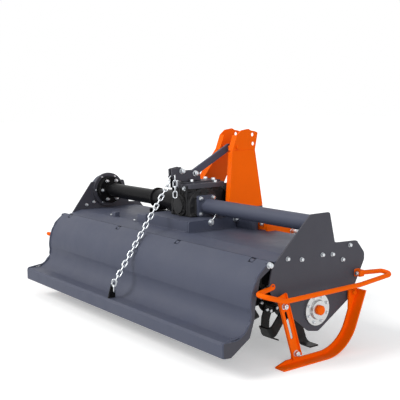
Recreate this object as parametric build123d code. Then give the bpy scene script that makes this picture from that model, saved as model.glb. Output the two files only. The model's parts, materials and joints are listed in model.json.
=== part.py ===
"""Rear-mounted rotary tiller for a tractor's three-point hitch.

A tined rotor turns between two side plates, under a flat hood. A gearbox on a
saddle in the middle drives it through a cross shaft in the left tube and a
drive case outside the left plate. The right tube only braces the frame. An
A-shaped mast and two lower brackets take the hitch. A hinged flap closes the
back and hangs on a chain, and two skids carry the machine on the ground.

Millimetres. X points to the right seen from behind, Y forward to the tractor
and Z up, with the ground at Z = 0. All sizes are written with the rotor's axis
at Y = 0. At the end everything moves by origin_shift, so that Y = 0 is half
way between the flap's lip and the front of the guard hoops.
"""

import os
from math import atan2, cos, degrees, hypot, radians, sin, tan

from build123d import *

# Overall sizes
width_over_plates = 2150.0
plate_thickness = 8.0
rotor_height = 250.0
deck_rise = 303.0
seat_gap = 0.3
running_gap = 0.4

# Hood, from its rear edge over the flat deck to the front apron
hood_sheet = 5.0
hood_rear_y = -284.0
hood_rear_drop = 22.0
hood_crease_y = -195.0
hood_front_y = 262.0
hood_nose_y = 322.0
hood_nose_drop = 72.0
hood_apron_drop = 150.0
hood_apron_lean = 6.0
hood_bend_radius = 18.0
hood_end_depth = 44.0
hood_end_sheet = 6.0

# Side plates, both with the same lower outline
plate_top_margin = 60.0
plate_shoulder_rise = 20.0
plate_front_y = 357.0
plate_rear_overhang = 42.0
plate_shoulder_setback = 60.0
plate_nose_drop = (51.0, 89.0)
plate_chin = (251.0, 23.0)
plate_foot_y = (15.0, -57.0)
plate_foot_drop = (119.0, 105.0)
plate_heel = (49.0, 77.0)
plate_back_rise = 160.0
plate_notch = (22.0, 57.0)
plate_right_top = (-43.0, 92.0)
plate_right_slope = (-252.0, 0.0)
plate_left_top = (-102.0, 165.0)
plate_left_slope = (-268.0, 28.0)
plate_top_fall = (40.0, 6.0)
plate_corner_radii = (14.0, 14.0, 10.0, 22.0, 26.0, 26.0, 16.0, 30.0, 26.0, 16.0, 30.0, 16.0, 16.0)
plate_bore_radius = 34.0

# Cross tubes and their flanges
tube_y = 25.0
support_tube_radius = 44.5
support_tube_wall = 8.0
drive_tube_radius = 49.0
drive_tube_wall = 10.0
tube_flange_side = 128.0
tube_flange_thick = 18.0
flange_corner_radius = 12.0
end_flange_radius = 76.0
end_flange_thick = 14.0
collar_radius = 57.0
collar_length = 62.0
case_flange_radius = 119.0
case_flange_thick = 20.0
case_flange_clearance = 11.0

# Gearbox and its saddle
saddle_half_width = 222.0
saddle_rear_y = -189.0
saddle_front_y = 170.0
saddle_sheet = 10.0
saddle_lift = 1.0
gearbox_half_width = 84.0
gearbox_rear_y = -78.0
gearbox_front_y = 195.0
gearbox_rise = 133.0
gearbox_corner_radius = 30.0
gearbox_side_radius = 108.0
gearbox_side_depth = 13.0
gearbox_flange_x = 106.0
gearbox_rim = 9.0
gearbox_rim_height = 14.0
rear_cover_radius = 63.0
rear_cover_depth = 26.0
rear_cover_step = 17.0
neck_margin = 4.0
neck_length = 40.0
input_shaft_radius = 17.5
input_journal_radius = 24.0
input_shaft_length = 118.0
shield_radius = 112.0
shield_length = 150.0
shield_wall = 5.0
shield_skirt = 40.0

# Bracket on the gearbox: outline points as (Y, rise over its base plate)
bracket_half_gap = 9.0
bracket_sheet = 10.0
bracket_base_width = 110.0
bracket_base_margin = 8.0
bracket_tail = ((-153.0, 22.0), (-128.0, 16.0))
bracket_front_y = 60.0
bracket_rear_foot_y = -56.0
bracket_back = ((48.0, 66.0), (-60.0, 66.0), (-92.0, 92.0), (-156.0, 82.0))
brace_low_eye_y = 16.0
brace_low_rise = 47.0
brace_depth = 42.0
brace_thick = 14.0
brace_pin_radius = 10.0
brace_pin_head = 12.0

# Mast: outline points as (Y, rise over the bend between leg and head)
mast_rise = 320.0
head_half_gap = 77.0
mast_sheet = 10.0
mast_flange = 34.0
mast_foot_step = 50.0
mast_foot_y = (112.0, 376.0)
mast_bend = ((256.0, 0.0), (439.0, 0.0))
mast_head = ((462.0, 108.0), (428.0, 117.0), (407.0, 120.0), (386.0, 131.0))
mast_head_back = ((330.0, 123.0), (292.0, 93.0))
link_bore_radius = 12.9
link_bores = ((420.0, 94.0), (424.0, 37.0))
brace_high_eye = (292.0, 17.0)
foot_tube_clearance = 22.0

# Front beam and lower hitch
beam_side = 62.0
beam_wall = 6.0
beam_setback = 6.0
beam_corner_radius = 8.0
hitch_x = 430.0
hitch_ear_gap = 62.0
hitch_ear_sheet = 14.0
hitch_pin_y = 398.0
hitch_pin_drop = 22.0
hitch_pin_radius = 14.2
hitch_pin_shoulder = 2.3
hitch_pin_overhang = 52.0
hitch_pin_head = 14.0
hitch_ear_radius = 26.0
hitch_rear_y = 200.0
hitch_block_rise = 54.0
hitch_web_sheet = 12.0

# Drive case outside the left plate
case_depth = 46.0
case_cover = 6.0
case_edge_radius = 9.0
case_top_radius = 100.0
case_low_radius = 108.0

# Right bearing, from its flange outward
bearing_radius = 83.0
bearing_flange_thick = 11.0
bearing_hub_radius = 52.0
bearing_hub_depth = 13.0
bearing_cap_radius = 25.0
bearing_cap_length = 18.0
bearing_cap_edge = 5.0

# Rotor: tube, flanges and bent tines
rotor_tube_radius = 44.5
stub_radius = 25.0
rotor_flange_radius = 95.0
rotor_flange_thick = 10.0
rotor_flange_count = 10
rotor_end_clearance = 22.0
rotor_tip_radius = 218.0
tines_per_flange = 6
tine_twist_step = 23.0
tine_start_angle = -27.0
tine_sheet = 8.0
tine_width = 58.0
tine_reach = 88.0
tine_root_gap = 12.0
tine_bend_radius = 30.0
tine_leg_width = 62.0
tine_leg_setback = 6.0
tine_curve_start = 96.0
tine_curve_radius = 80.0
tine_end_clearance = 20.0

# Hinge between the hood and the flap
hinge_offset = 39.0
hinge_rod_radius = 8.0
hinge_rod_overhang = 12.0
tongue_thick = 6.0
tongue_lap = 39.0
knuckle_radius = 14.0
knuckle_length = 26.0
knuckle_inset = 115.0
knuckle_count = 4
flap_eye_length = 60.0

# Flap: points of its outer side as (Y behind the hinge, drop under the hinge)
flap_sheet = 5.0
flap_end_sheet = 6.0
flap_top_radius = 19.0
flap_shoulder = (81.0, 66.4)
flap_bulge = (116.0, 201.4)
flap_valley = (149.0, 306.4)
flap_shelf = (205.0, 334.4)
flap_shelf_depth = 85.0
flap_lip_height = 74.0
flap_lip_bend = 12.0
flap_lip_return = 16.0
flap_end_inner = ((121.0, 339.4), (93.0, 253.4), (85.0, 173.4), (57.0, 61.4))
flap_slot_margin = 6.0
flap_lug_thick = 8.0
flap_lug_setback = 38.0
flap_lug_rise = 71.0
flap_lug_hole_radius = 8.5
flap_lug_edge = 12.0

# Chain from the flap to the gearbox bracket, with a loose tail beside it
chain_wire = 9.0
chain_pitch = 35.0
chain_inner_width = 15.0
chain_bend_sides = 4
chain_tail_links = 3
chain_tail_x = 28.0
chain_pin_y = -140.0
chain_pin_rise = 32.0
chain_pin_radius = 6.0

# Guard hoops: bends as (Y, rise over the rotor's axis)
hoop_rod_radius = 12.5
hoop_stand_off = 80.0
hoop_rear_end = (-247.0, 157.0)
hoop_rear = (-418.0, 145.0)
hoop_dip_rear = (-290.0, 102.0)
hoop_dip_front = (240.0, 106.0)
hoop_front = (488.0, 128.0)
hoop_lug = (300.0, 150.0)
hoop_lug_size = (38.0, 32.0, 34.0)
hoop_return_x = 22.0
hoop_front_return = (476.0, 138.0)
hoop_bend_radii = (26.0, 26.0, 120.0, 300.0, 26.0, 22.0)

# Skids and the slotted straps behind them
skid_stand_off = 9.0
skid_width = 66.0
skid_sheet = 8.0
skid_web_depth = 28.0
skid_web_taper = 70.0
skid_gusset = (72.0, 105.0)
skid_rear_y = -290.0
skid_bend_y = 10.0
skid_bend_radius = 230.0
skid_arm_angle = 67.5
skid_top_rise = 66.0
skid_bolt_depth = 34.0
skid_bolt_setback = 26.0
skid_boss_radius = 14.0
strap_width = 60.0
strap_depth = 14.0
strap_sheet = 5.0
strap_top_inset = 83.0
strap_top_rise = 59.0
strap_head = 60.0
strap_low = (-162.0, 55.0)
strap_lug_width = 46.0
strap_lug_margin = 24.0
slot_width = 16.0
slot_from_top = 38.0
slot_length = 138.0

# Values that follow from the sizes above
plate_outer_x = width_over_plates / 2
plate_inner_x = plate_outer_x - plate_thickness
plate_rear_y = hood_rear_y - plate_rear_overhang
deck_height = rotor_height + deck_rise
knuckle_spacing = (width_over_plates - 2 * knuckle_inset) / (knuckle_count - 1)
tube_height = deck_height + case_flange_clearance + case_flange_radius
saddle_top = tube_height - tube_flange_side / 2 - saddle_lift
gearbox_top = tube_height + gearbox_rise
bracket_base_top = gearbox_top + seat_gap + bracket_sheet
brace_low = (brace_low_eye_y, bracket_base_top + brace_low_rise)
chain_pin = (chain_pin_y, bracket_base_top + chain_pin_rise)
mast_bend_height = tube_height + mast_rise
mast_foot_height = saddle_top + mast_foot_step
brace_high = (brace_high_eye[0], mast_bend_height + brace_high_eye[1])
neck_radius = tube_flange_side / 2 - neck_margin
beam_y = hood_front_y - beam_setback - beam_side / 2
beam_height = deck_height - hood_sheet - seat_gap - beam_side / 2
hitch_pin_height = deck_height - hitch_pin_drop
bearing_depth = bearing_flange_thick + bearing_hub_depth
hinge_y = hood_rear_y - hinge_offset
hood_fall = hood_rear_drop / (hood_crease_y - hood_rear_y)
hinge_height = deck_height - hood_fall * (hood_crease_y - hinge_y)
flap_shelf_end = flap_shelf[0] + flap_shelf_depth
flap_lip_y = hinge_y - flap_shelf_end
flap_lug_y = hinge_y - flap_shelf[0] - flap_lug_setback
flap_lug_hole = (flap_lug_y, hinge_height - flap_shelf[1] + flap_lug_rise)
hoop_x = plate_outer_x + hoop_stand_off
skid_x = plate_outer_x + skid_stand_off
origin_shift = -(flap_lip_y + hoop_front[0] + hoop_rod_radius) / 2

nodes = {}


def yz(x):
    """Plane across the machine at the given X, drawn in (Y, Z)."""
    return Plane.YZ.offset(x)


def slab(outline, x_low, x_high):
    """Solid of a face drawn in (Y, Z), from x_low to x_high."""
    return extrude(yz(x_low) * outline, amount=x_high - x_low)


def block(width, y_low, y_high, radius, z_low, z_high):
    """Upright block round X = 0 with rounded corners."""
    face = RectangleRounded(width, y_high - y_low, radius)
    middle = Pos(0, (y_low + y_high) / 2)
    return extrude(Plane.XY.offset(z_low) * middle * face, amount=z_high - z_low)


def rounded(points, radius):
    """Face with the given corners, rounded by one radius or by a list."""
    return make_face(FilletPolyline(*points, radius=radius, close=True))


def sheet_face(path, thickness, side=Side.RIGHT):
    """Face of a bent sheet between the path and its offset on one side."""
    return make_face(offset(path, amount=thickness, side=side))


def round_bar_x(y, z, radius, x_low, x_high):
    """Round bar along X."""
    return slab(Pos(y, z) * Circle(radius), x_low, x_high)


def turned_x(profile, y, z):
    """Solid of a profile given as (X, radius), turned about an axis along X."""
    face = make_face(Polyline(*profile, close=True))
    return Pos(0, y, z) * revolve(Plane.XZ * face, Axis.X)


def mirrored(part):
    """The same piece on the other side of the middle plane."""
    return mirror(part, about=Plane.YZ)


def plate_outline(top, slope):
    """Side plate outline in (Y, Z); only the top and its rear slope differ."""
    top_height = tube_height + plate_top_margin
    shoulder = deck_height + plate_shoulder_rise
    points = [
        (top[0], top_height),
        (top[1], top_height),
        (top[1] + plate_top_fall[0], shoulder + plate_top_fall[1]),
        (plate_front_y - plate_shoulder_setback, shoulder),
        *((plate_front_y, deck_height - drop) for drop in plate_nose_drop),
        (plate_chin[0], rotor_height + plate_chin[1]),
        *((y, rotor_height - drop) for y, drop in zip(plate_foot_y, plate_foot_drop)),
        (plate_rear_y + plate_heel[0], rotor_height + plate_heel[1]),
        (plate_rear_y, rotor_height + plate_back_rise),
        (plate_rear_y + plate_notch[0], deck_height - plate_notch[1]),
        (slope[0], deck_height - slope[1]),
    ]
    return rounded(points, plate_corner_radii)


def side_plates():
    right = plate_outline(plate_right_top, plate_right_slope)
    left = plate_outline(plate_left_top, plate_left_slope)
    stub = Pos(0, rotor_height) * Circle(plate_bore_radius)
    shaft = Pos(tube_y, tube_height) * Circle(plate_bore_radius)
    nodes["side_plate_right"] = slab(right - stub, plate_inner_x, plate_outer_x)
    nodes["side_plate_left"] = slab(left - stub - shaft, -plate_outer_x, -plate_inner_x)


def hood():
    """Bent sheet between the plates, with a flange turned down at each end."""
    path = FilletPolyline(
        (hood_rear_y, deck_height - hood_rear_drop),
        (hood_crease_y, deck_height),
        (hood_front_y, deck_height),
        (hood_nose_y, deck_height - hood_nose_drop),
        (hood_nose_y - hood_apron_lean, deck_height - hood_apron_drop),
        radius=hood_bend_radius,
    )
    reach = plate_inner_x - seat_gap
    sheet = slab(sheet_face(path, hood_sheet), -reach, reach)
    for inner in (-reach, reach - hood_end_sheet):
        sheet += slab(sheet_face(path, hood_end_depth), inner, inner + hood_end_sheet)
    nodes["hood"] = sheet


def front_beam():
    """Square tube under the deck's front, between the hood's end flanges."""
    place = Pos(beam_y, beam_height)
    bore_side = beam_side - 2 * beam_wall
    outer = place * RectangleRounded(beam_side, beam_side, beam_corner_radius)
    bore = place * Rectangle(bore_side, bore_side)
    reach = plate_inner_x - hood_end_sheet - 2 * seat_gap
    nodes["front_beam"] = slab(outer - bore, -reach, reach)


def cross_tubes():
    place = Pos(tube_y, tube_height)
    reach = plate_inner_x - seat_gap
    inner = gearbox_flange_x + seat_gap
    pipe = Circle(support_tube_radius) - Circle(support_tube_radius - support_tube_wall)
    tube = slab(place * pipe, inner, reach)
    square = RectangleRounded(tube_flange_side, tube_flange_side, flange_corner_radius)
    tube += slab(place * square, inner, inner + tube_flange_thick)
    nodes["support_tube"] = tube

    case_side = plate_inner_x - case_flange_thick - 2 * seat_gap
    pipe = Circle(drive_tube_radius) - Circle(drive_tube_radius - drive_tube_wall)
    tube = slab(place * pipe, -case_side, -inner)
    end = place * Circle(end_flange_radius)
    tube += slab(end, -case_side, -case_side + end_flange_thick)
    collar = place * Circle(collar_radius)
    tube += slab(collar, -inner - collar_length, -inner)
    nodes["drive_tube"] = tube


def saddle():
    """Open-bottomed box that carries the gearbox over the deck."""
    low = deck_height + seat_gap
    width = 2 * saddle_half_width
    box = block(width, saddle_rear_y, saddle_front_y, saddle_sheet, low, saddle_top)
    hollow = block(
        width - 2 * saddle_sheet,
        saddle_rear_y + saddle_sheet,
        saddle_front_y - saddle_sheet,
        saddle_sheet / 2,
        low,
        saddle_top - saddle_sheet,
    )
    nodes["gearbox_saddle"] = box - hollow


def mast_feet():
    """Plates beside the saddle that rise in front of the tube to the mast."""
    low = deck_height + seat_gap
    high = mast_foot_height - seat_gap
    rise_y = tube_y + support_tube_radius + foot_tube_clearance
    points = [
        (saddle_rear_y, low),
        (mast_foot_y[1], low),
        (mast_foot_y[1], high),
        (rise_y, high),
        (rise_y, saddle_top),
        (saddle_rear_y, saddle_top),
    ]
    face = rounded(points, [4, 20, 4, 4, 18, 14])
    foot = slab(face, saddle_half_width + seat_gap, saddle_half_width + mast_sheet)
    nodes["mast_foot_right"] = foot
    nodes["mast_foot_left"] = mirrored(foot)


def gearbox():
    """Cast housing with a foot rim, a top rim and a square flange each side."""
    low = saddle_top + seat_gap
    rear, front = gearbox_rear_y, gearbox_front_y
    width, rim = 2 * gearbox_half_width, gearbox_rim
    corner = gearbox_corner_radius
    wide = width + 2 * rim
    body = block(width, rear, front, corner, low, gearbox_top)
    body += block(wide, rear, front, corner, low, low + gearbox_rim_height)
    body += block(wide, rear, front, corner, gearbox_top - gearbox_rim_height, gearbox_top)
    square = RectangleRounded(tube_flange_side, tube_flange_side, flange_corner_radius)
    body += slab(Pos(tube_y, tube_height) * square, -gearbox_flange_x, gearbox_flange_x)
    side_height = tube_height - low
    side = Pos(tube_y, tube_height) * Circle(gearbox_side_radius)
    side += Pos(tube_y, tube_height - side_height / 2) * Rectangle(2 * gearbox_side_radius, side_height)
    side -= Pos(tube_y, low - side_height) * Rectangle(3 * gearbox_side_radius, 2 * side_height)
    depth = gearbox_side_depth
    for x_low in (-gearbox_half_width - depth, gearbox_half_width - depth):
        body += slab(side, x_low, x_low + 2 * depth)
    nodes["gearbox_housing"] = body

    cover_height = saddle_top + rear_cover_radius + 2 * saddle_lift
    cover_plane = Plane.XZ.offset(-rear + seat_gap) * Pos(0, cover_height)
    cover = extrude(cover_plane * Circle(rear_cover_radius), amount=rear_cover_depth / 2)
    dome = Circle(rear_cover_radius - rear_cover_step)
    nodes["gearbox_rear_cover"] = cover + extrude(cover_plane * dome, amount=rear_cover_depth)

    face = Plane.XZ.offset(-front - seat_gap) * Pos(0, tube_height)
    ring = Circle(neck_radius) - Circle(input_journal_radius + running_gap)
    nodes["input_neck"] = extrude(face * ring, amount=-neck_length)
    shaft = extrude(face * Circle(input_journal_radius), amount=-neck_length)
    reach = neck_length + input_shaft_length
    nodes["input_shaft"] = shaft + extrude(face * Circle(input_shaft_radius), amount=-reach)


def shaft_shield():
    """Hood open below round the input shaft, with a back plate on the neck."""
    axis = Pos(0, tube_height)
    skirt_low = Pos(0, tube_height - shield_skirt - shield_radius)
    lower = skirt_low * Rectangle(3 * shield_radius, 2 * shield_radius)
    arch = axis * (Circle(shield_radius) - Circle(shield_radius - shield_wall)) - lower
    plate = axis * (Circle(shield_radius) - Circle(neck_radius + seat_gap)) - lower
    back = Plane.XZ.offset(-gearbox_front_y - 2 * seat_gap)
    tunnel = extrude(back * arch, amount=-shield_length)
    nodes["shaft_shield"] = tunnel + extrude(back * plate, amount=-shield_wall)


def gearbox_bracket():
    """Base plate and two upright webs for the brace and the flap's chain."""
    low = gearbox_top + seat_gap
    high = bracket_base_top
    rear = gearbox_rear_y + bracket_base_margin
    front = gearbox_front_y - bracket_base_margin
    bracket = block(bracket_base_width, rear, front, bracket_base_margin, low, high)
    points = [
        *((y, high + rise) for y, rise in bracket_tail),
        (bracket_rear_foot_y, high),
        (bracket_front_y, high),
        *((y, high + rise) for y, rise in bracket_back),
    ]
    web = rounded(points, [8, 6, 1, 1, 16, 30, 12, 6])
    web -= Pos(*brace_low) * Circle(brace_pin_radius + seat_gap)
    for x_low in (-bracket_half_gap - bracket_sheet, bracket_half_gap):
        bracket += slab(web, x_low, x_low + bracket_sheet)
    pin_reach = chain_tail_x + chain_wire
    bracket += round_bar_x(*chain_pin, chain_pin_radius, -pin_reach, pin_reach)
    nodes["gearbox_bracket"] = bracket


def brace():
    """Flat bar from the gearbox bracket to the mast, on a pin at each end."""
    low, high = brace_low, brace_high
    length = hypot(high[0] - low[0], high[1] - low[1])
    tilt = degrees(atan2(high[1] - low[1], high[0] - low[0]))
    middle = ((low[0] + high[0]) / 2, (low[1] + high[1]) / 2)
    bar = Pos(*middle) * Rot(0, 0, tilt) * SlotCenterToCenter(length, brace_depth)
    for eye in (low, high):
        bar -= Pos(*eye) * Circle(brace_pin_radius + seat_gap)
    nodes["mast_brace"] = slab(bar, -brace_thick / 2, brace_thick / 2)
    walls = (
        (low, bracket_half_gap + bracket_sheet),
        (high, head_half_gap + mast_sheet),
    )
    pins = []
    for eye, wall in walls:
        reach = wall + brace_pin_head
        pins.append(round_bar_x(*eye, brace_pin_radius, -reach, reach))
    nodes["brace_pins"] = Compound(children=pins)


def mast():
    """Right leg, splayed below an upright head and flanged along its rear."""
    foot_x = saddle_half_width + seat_gap
    splay = atan2(foot_x - head_half_gap, mast_bend_height - mast_foot_height)
    rear, front = mast_bend[0][0], mast_bend[1][0]
    points = [(y, mast_bend_height + rise) for y, rise in mast_bend + mast_head + mast_head_back]
    head = rounded(points, [0, 0, 10, 14, 10, 12, 18, 10])
    for y, rise in link_bores:
        head -= Pos(y, mast_bend_height + rise) * Circle(link_bore_radius)
    head -= Pos(*brace_high) * Circle(brace_pin_radius + seat_gap)
    leg = slab(head, head_half_gap, head_half_gap + mast_sheet)
    back = points[-1]
    lap = mast_sheet
    strip = Polyline(points[0], (rear + lap, mast_bend_height), (back[0] + lap, back[1]), back, close=True)
    leg += slab(make_face(strip), head_half_gap - mast_flange, head_half_gap)

    slope = Plane(
        origin=(head_half_gap, 0, mast_bend_height),
        x_dir=(0, 1, 0),
        z_dir=(cos(splay), 0, sin(splay)),
    )
    drop = (mast_bend_height - mast_foot_height) / cos(splay)
    foot_rear, foot_front = mast_foot_y
    web = Polyline((rear, 0), (front, 0), (foot_front, -drop), (foot_rear, -drop), close=True)
    strip = Polyline(
        (rear, 0), (rear + lap, 0), (foot_rear + lap, -drop), (foot_rear, -drop), close=True
    )
    leg += extrude(slope * make_face(web), amount=mast_sheet)
    leg += extrude(slope * make_face(strip), amount=-mast_flange)
    leg = split(leg, bisect_by=Plane.XY.offset(mast_foot_height), keep=Keep.TOP)
    nodes["mast_leg_right"] = leg
    nodes["mast_leg_left"] = mirrored(leg)


def hitch_brackets():
    """Two ears on the deck over the front beam, with a pin through both."""
    base = deck_height + seat_gap
    top = base + hitch_block_rise
    reach = hitch_ear_radius
    ear = rounded(
        [
            (hitch_rear_y, base),
            (hood_front_y, base),
            (hood_front_y + 28, base - 17),
            (hitch_pin_y, hitch_pin_height - reach),
            (hitch_pin_y, hitch_pin_height + reach),
            (hood_front_y, base + 36),
            (hood_front_y - 10, top - 8),
            (hitch_rear_y, top),
        ],
        [0, 4, 20, 0, 0, 14, 6, 8],
    )
    end = Pos(hitch_pin_y, hitch_pin_height)
    ear = ear + end * Circle(reach) - end * Circle(hitch_pin_radius + hitch_pin_shoulder + seat_gap)
    half = hitch_ear_gap / 2
    outer = half + hitch_ear_sheet
    bracket = slab(ear, hitch_x + half, hitch_x + outer)
    bracket += slab(ear, hitch_x - outer, hitch_x - half)
    web_height = hitch_block_rise - hitch_web_sheet
    web_place = Pos(hitch_rear_y + hitch_web_sheet / 2, base + hitch_block_rise / 2)
    web = web_place * Rectangle(hitch_web_sheet, web_height)
    bracket += slab(web, hitch_x - half, hitch_x + half)
    seat_radius = hitch_pin_radius + hitch_pin_shoulder
    start = hitch_x - outer - hitch_pin_head
    shoulder = hitch_x + outer
    tip = shoulder + hitch_pin_overhang
    turning = [
        (start, 0),
        (start, seat_radius),
        (shoulder, seat_radius),
        (shoulder, hitch_pin_radius),
        (tip, hitch_pin_radius),
        (tip, 0),
    ]
    pin = turned_x(turning, hitch_pin_y, hitch_pin_height)
    nodes["hitch_bracket_right"] = bracket
    nodes["hitch_bracket_left"] = mirrored(bracket)
    nodes["hitch_pin_right"] = pin
    nodes["hitch_pin_left"] = mirrored(pin)


def drive_case():
    """Case from the tube's end down to the rotor, outside the left plate."""
    top = Pos(tube_y, tube_height)
    low = Pos(0, rotor_height)
    rings = (top * Circle(case_top_radius)).edges() + (low * Circle(case_low_radius)).edges()
    outline = make_hull(rings)
    face_x = plate_outer_x + seat_gap
    bore = low * Circle(stub_radius + running_gap)
    nodes["drive_case"] = slab(outline - bore, -face_x - case_depth, -face_x)
    cover_x = face_x + case_depth + seat_gap
    cover = slab(outline, -cover_x - case_cover - case_edge_radius, -cover_x)
    outer_rim = cover.faces().sort_by(Axis.X)[0].edges()
    nodes["drive_case_cover"] = chamfer(outer_rim, case_edge_radius)
    disc = top * Circle(case_flange_radius)
    flange_x = plate_inner_x - seat_gap
    nodes["drive_case_flange"] = slab(disc, -flange_x, -flange_x + case_flange_thick)


def right_bearing():
    """Flanged bearing housing with a screwed cap, on the right plate."""
    low = plate_outer_x + seat_gap
    bore = stub_radius + running_gap
    step = low + bearing_flange_thick
    high = low + bearing_depth
    housing = [
        (low, bore),
        (low, bearing_radius),
        (step, bearing_radius),
        (step, bearing_hub_radius),
        (high, bearing_hub_radius - bearing_cap_edge),
        (high, bore),
    ]
    nodes["bearing_housing"] = turned_x(housing, 0, rotor_height)
    start = high + seat_gap
    end = start + bearing_cap_length
    edge = bearing_cap_edge
    cap = [
        (start, 0),
        (start, bearing_cap_radius),
        (end - edge, bearing_cap_radius),
        (end, bearing_cap_radius - edge),
        (end, 0),
    ]
    nodes["bearing_cap"] = turned_x(cap, 0, rotor_height)


def tine(side):
    """Flat shank and a leg bent across the rotor; side is the way it bends.

    The bent strip seen along Y is cut by the swept-back outline seen along X.
    """
    root = rotor_tube_radius + tine_root_gap
    tip = rotor_tip_radius
    seat = rotor_flange_thick / 2 + seat_gap
    bend = FilletPolyline(
        (seat, root),
        (seat, tip),
        (seat + tine_reach, tip),
        radius=tine_bend_radius,
    )
    strip_face = Plane.XZ * sheet_face(bend, tine_sheet)
    strip = extrude(strip_face, amount=rotor_tip_radius, both=True)
    half = tine_width / 2
    leg_front = -tine_leg_setback
    leg_rear = leg_front - tine_leg_width
    curve = tip - tine_curve_start
    outline = rounded(
        [
            (-half, root),
            (half, root),
            (half, curve),
            (leg_front, tip + tine_sheet),
            (leg_rear, tip + tine_sheet),
            (-half, curve),
        ],
        [0, 0, tine_curve_radius, 0, 0, tine_curve_radius],
    )
    whole = strip & slab(outline, 0, seat + tine_reach)
    return whole if side > 0 else mirrored(whole)


def rotor():
    """Tube with flanges, and tines bolted to them by turns left and right."""
    reach = plate_inner_x - rotor_end_clearance
    stub = plate_outer_x + bearing_depth
    first = reach - tine_reach - tine_end_clearance
    step = 2 * first / (rotor_flange_count - 1)
    half = rotor_flange_thick / 2
    places = [-first + k * step for k in range(rotor_flange_count)]
    profile = [(-stub, 0), (-stub, stub_radius), (-reach, stub_radius)]
    profile.append((-reach, rotor_tube_radius))
    for x in places:
        profile += [
            (x - half, rotor_tube_radius),
            (x - half, rotor_flange_radius),
            (x + half, rotor_flange_radius),
            (x + half, rotor_tube_radius),
        ]
    profile += [(reach, rotor_tube_radius), (reach, stub_radius)]
    profile += [(stub, stub_radius), (stub, 0)]
    nodes["rotor_tube"] = turned_x(profile, 0, rotor_height)

    hands = {"tines_right_hand": [], "tines_left_hand": []}
    right, left = tine(1), tine(-1)
    for flange, x in enumerate(places):
        for index in range(tines_per_flange):
            angle = tine_start_angle + index * 360 / tines_per_flange + flange * tine_twist_step
            place = Pos(x, 0, rotor_height) * Rot(angle, 0, 0)
            if index % 2 == 0:
                hands["tines_right_hand"].append(place * right)
            else:
                hands["tines_left_hand"].append(place * left)
    for hand, tines in hands.items():
        nodes[hand] = Compound(children=tines)


def knuckle_places():
    """X of the hood's hinge eyes, spread evenly round the middle."""
    middle = (knuckle_count - 1) / 2
    return [knuckle_spacing * (k - middle) for k in range(knuckle_count)]


def from_hinge(back, drop):
    """Point in (Y, Z) from its distances behind and under the hinge's axis."""
    return (hinge_y - back, hinge_height - drop)


def flap_path():
    """Outer side of the flap's sheet, from over the hinge to the lip."""
    top = from_hinge(-4, -flap_top_radius)
    bulge = from_hinge(*flap_bulge)
    shelf = from_hinge(*flap_shelf)
    over = ThreePointArc(top, from_hinge(*flap_shoulder), bulge)
    wave = ThreePointArc(bulge, from_hinge(*flap_valley), shelf)
    drop = flap_shelf[1]
    rest = Polyline(
        shelf,
        from_hinge(flap_shelf_end - flap_lip_bend, drop),
        from_hinge(flap_shelf_end, drop + flap_lip_bend),
        from_hinge(flap_shelf_end, drop + flap_lip_height),
        from_hinge(flap_shelf_end - flap_lip_return, drop + flap_lip_height + 4),
    )
    return Wire([*over.edges(), *wave.edges(), *rest.edges()])


def flap():
    """Curved panel with end plates, slots for the hood's eyes and a chain lug."""
    reach = plate_outer_x
    path = flap_path()
    panel = slab(sheet_face(path, flap_sheet, Side.LEFT), -reach, reach)
    half_slot = knuckle_length / 2 + flap_slot_margin
    slot_size = 2 * (flap_top_radius + 4)
    for x in knuckle_places():
        panel -= Pos(x, hinge_y, hinge_height) * Box(2 * half_slot, slot_size, slot_size)
    nodes["flap_panel"] = panel

    lip_drop = flap_shelf[1] + flap_lip_height
    inner_edge = Polyline(
        path @ 1,
        from_hinge(flap_shelf[0] + 32, lip_drop + 6),
        *(from_hinge(*point) for point in flap_end_inner),
        from_hinge(-14, 16),
        from_hinge(-18, -4),
        path @ 0,
    )
    whole = make_face(Wire([*path.edges(), *inner_edge.edges()]))
    skin = sheet_face(path, flap_sheet + seat_gap, Side.LEFT)
    rod = Pos(hinge_y, hinge_height) * Circle(hinge_rod_radius + running_gap)
    plate = slab(whole - skin - rod, reach - flap_end_sheet, reach)
    plate = plate.solids().sort_by(SortBy.VOLUME)[-1]
    nodes["flap_end_right"] = plate
    nodes["flap_end_left"] = mirrored(plate)

    lug_y, lug_z = flap_lug_hole
    base = hinge_height - flap_shelf[1] + seat_gap
    edge = flap_lug_edge
    lug = rounded(
        [
            (lug_y - 3 * edge, base),
            (lug_y + edge, base),
            (lug_y + edge, lug_z + edge),
            (lug_y - edge, lug_z + edge),
        ],
        [1, 1, 10, 10],
    )
    lug -= Pos(lug_y, lug_z) * Circle(flap_lug_hole_radius)
    nodes["flap_chain_lug"] = slab(lug, -flap_lug_thick / 2, flap_lug_thick / 2)


def hinge():
    """Rod in eyes on the hood's rear edge, and the flap's own eyes round it."""
    axis = Pos(hinge_y, hinge_height)
    reach = plate_outer_x + hinge_rod_overhang
    nodes["hinge_rod"] = slab(axis * Circle(hinge_rod_radius), -reach, reach)
    tilt = degrees(atan2(hood_rear_drop, hood_crease_y - hood_rear_y))
    drop = hood_sheet + seat_gap + tongue_thick / 2
    length = hinge_offset + tongue_lap
    tongue = Rot(0, 0, tilt) * Pos(length / 2, -drop) * Rectangle(length, tongue_thick)
    bore = Circle(hinge_rod_radius + seat_gap)
    eye = axis * (Circle(knuckle_radius) + tongue - bore)
    half = knuckle_length / 2
    eyes = [slab(eye, x - half, x + half) for x in knuckle_places()]
    nodes["hood_hinge_eyes"] = Compound(children=eyes)

    skin = sheet_face(flap_path(), flap_sheet + seat_gap, Side.LEFT)
    ring = axis * Circle(flap_top_radius - flap_sheet - seat_gap)
    ring = ring - skin - axis * Circle(hinge_rod_radius + running_gap)
    start = half + flap_slot_margin
    lows = [x + start for x in knuckle_places()]
    flap_eyes = [slab(ring, low, low + flap_eye_length) for low in lows]
    nodes["flap_hinge_eyes"] = Compound(children=flap_eyes)


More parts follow.
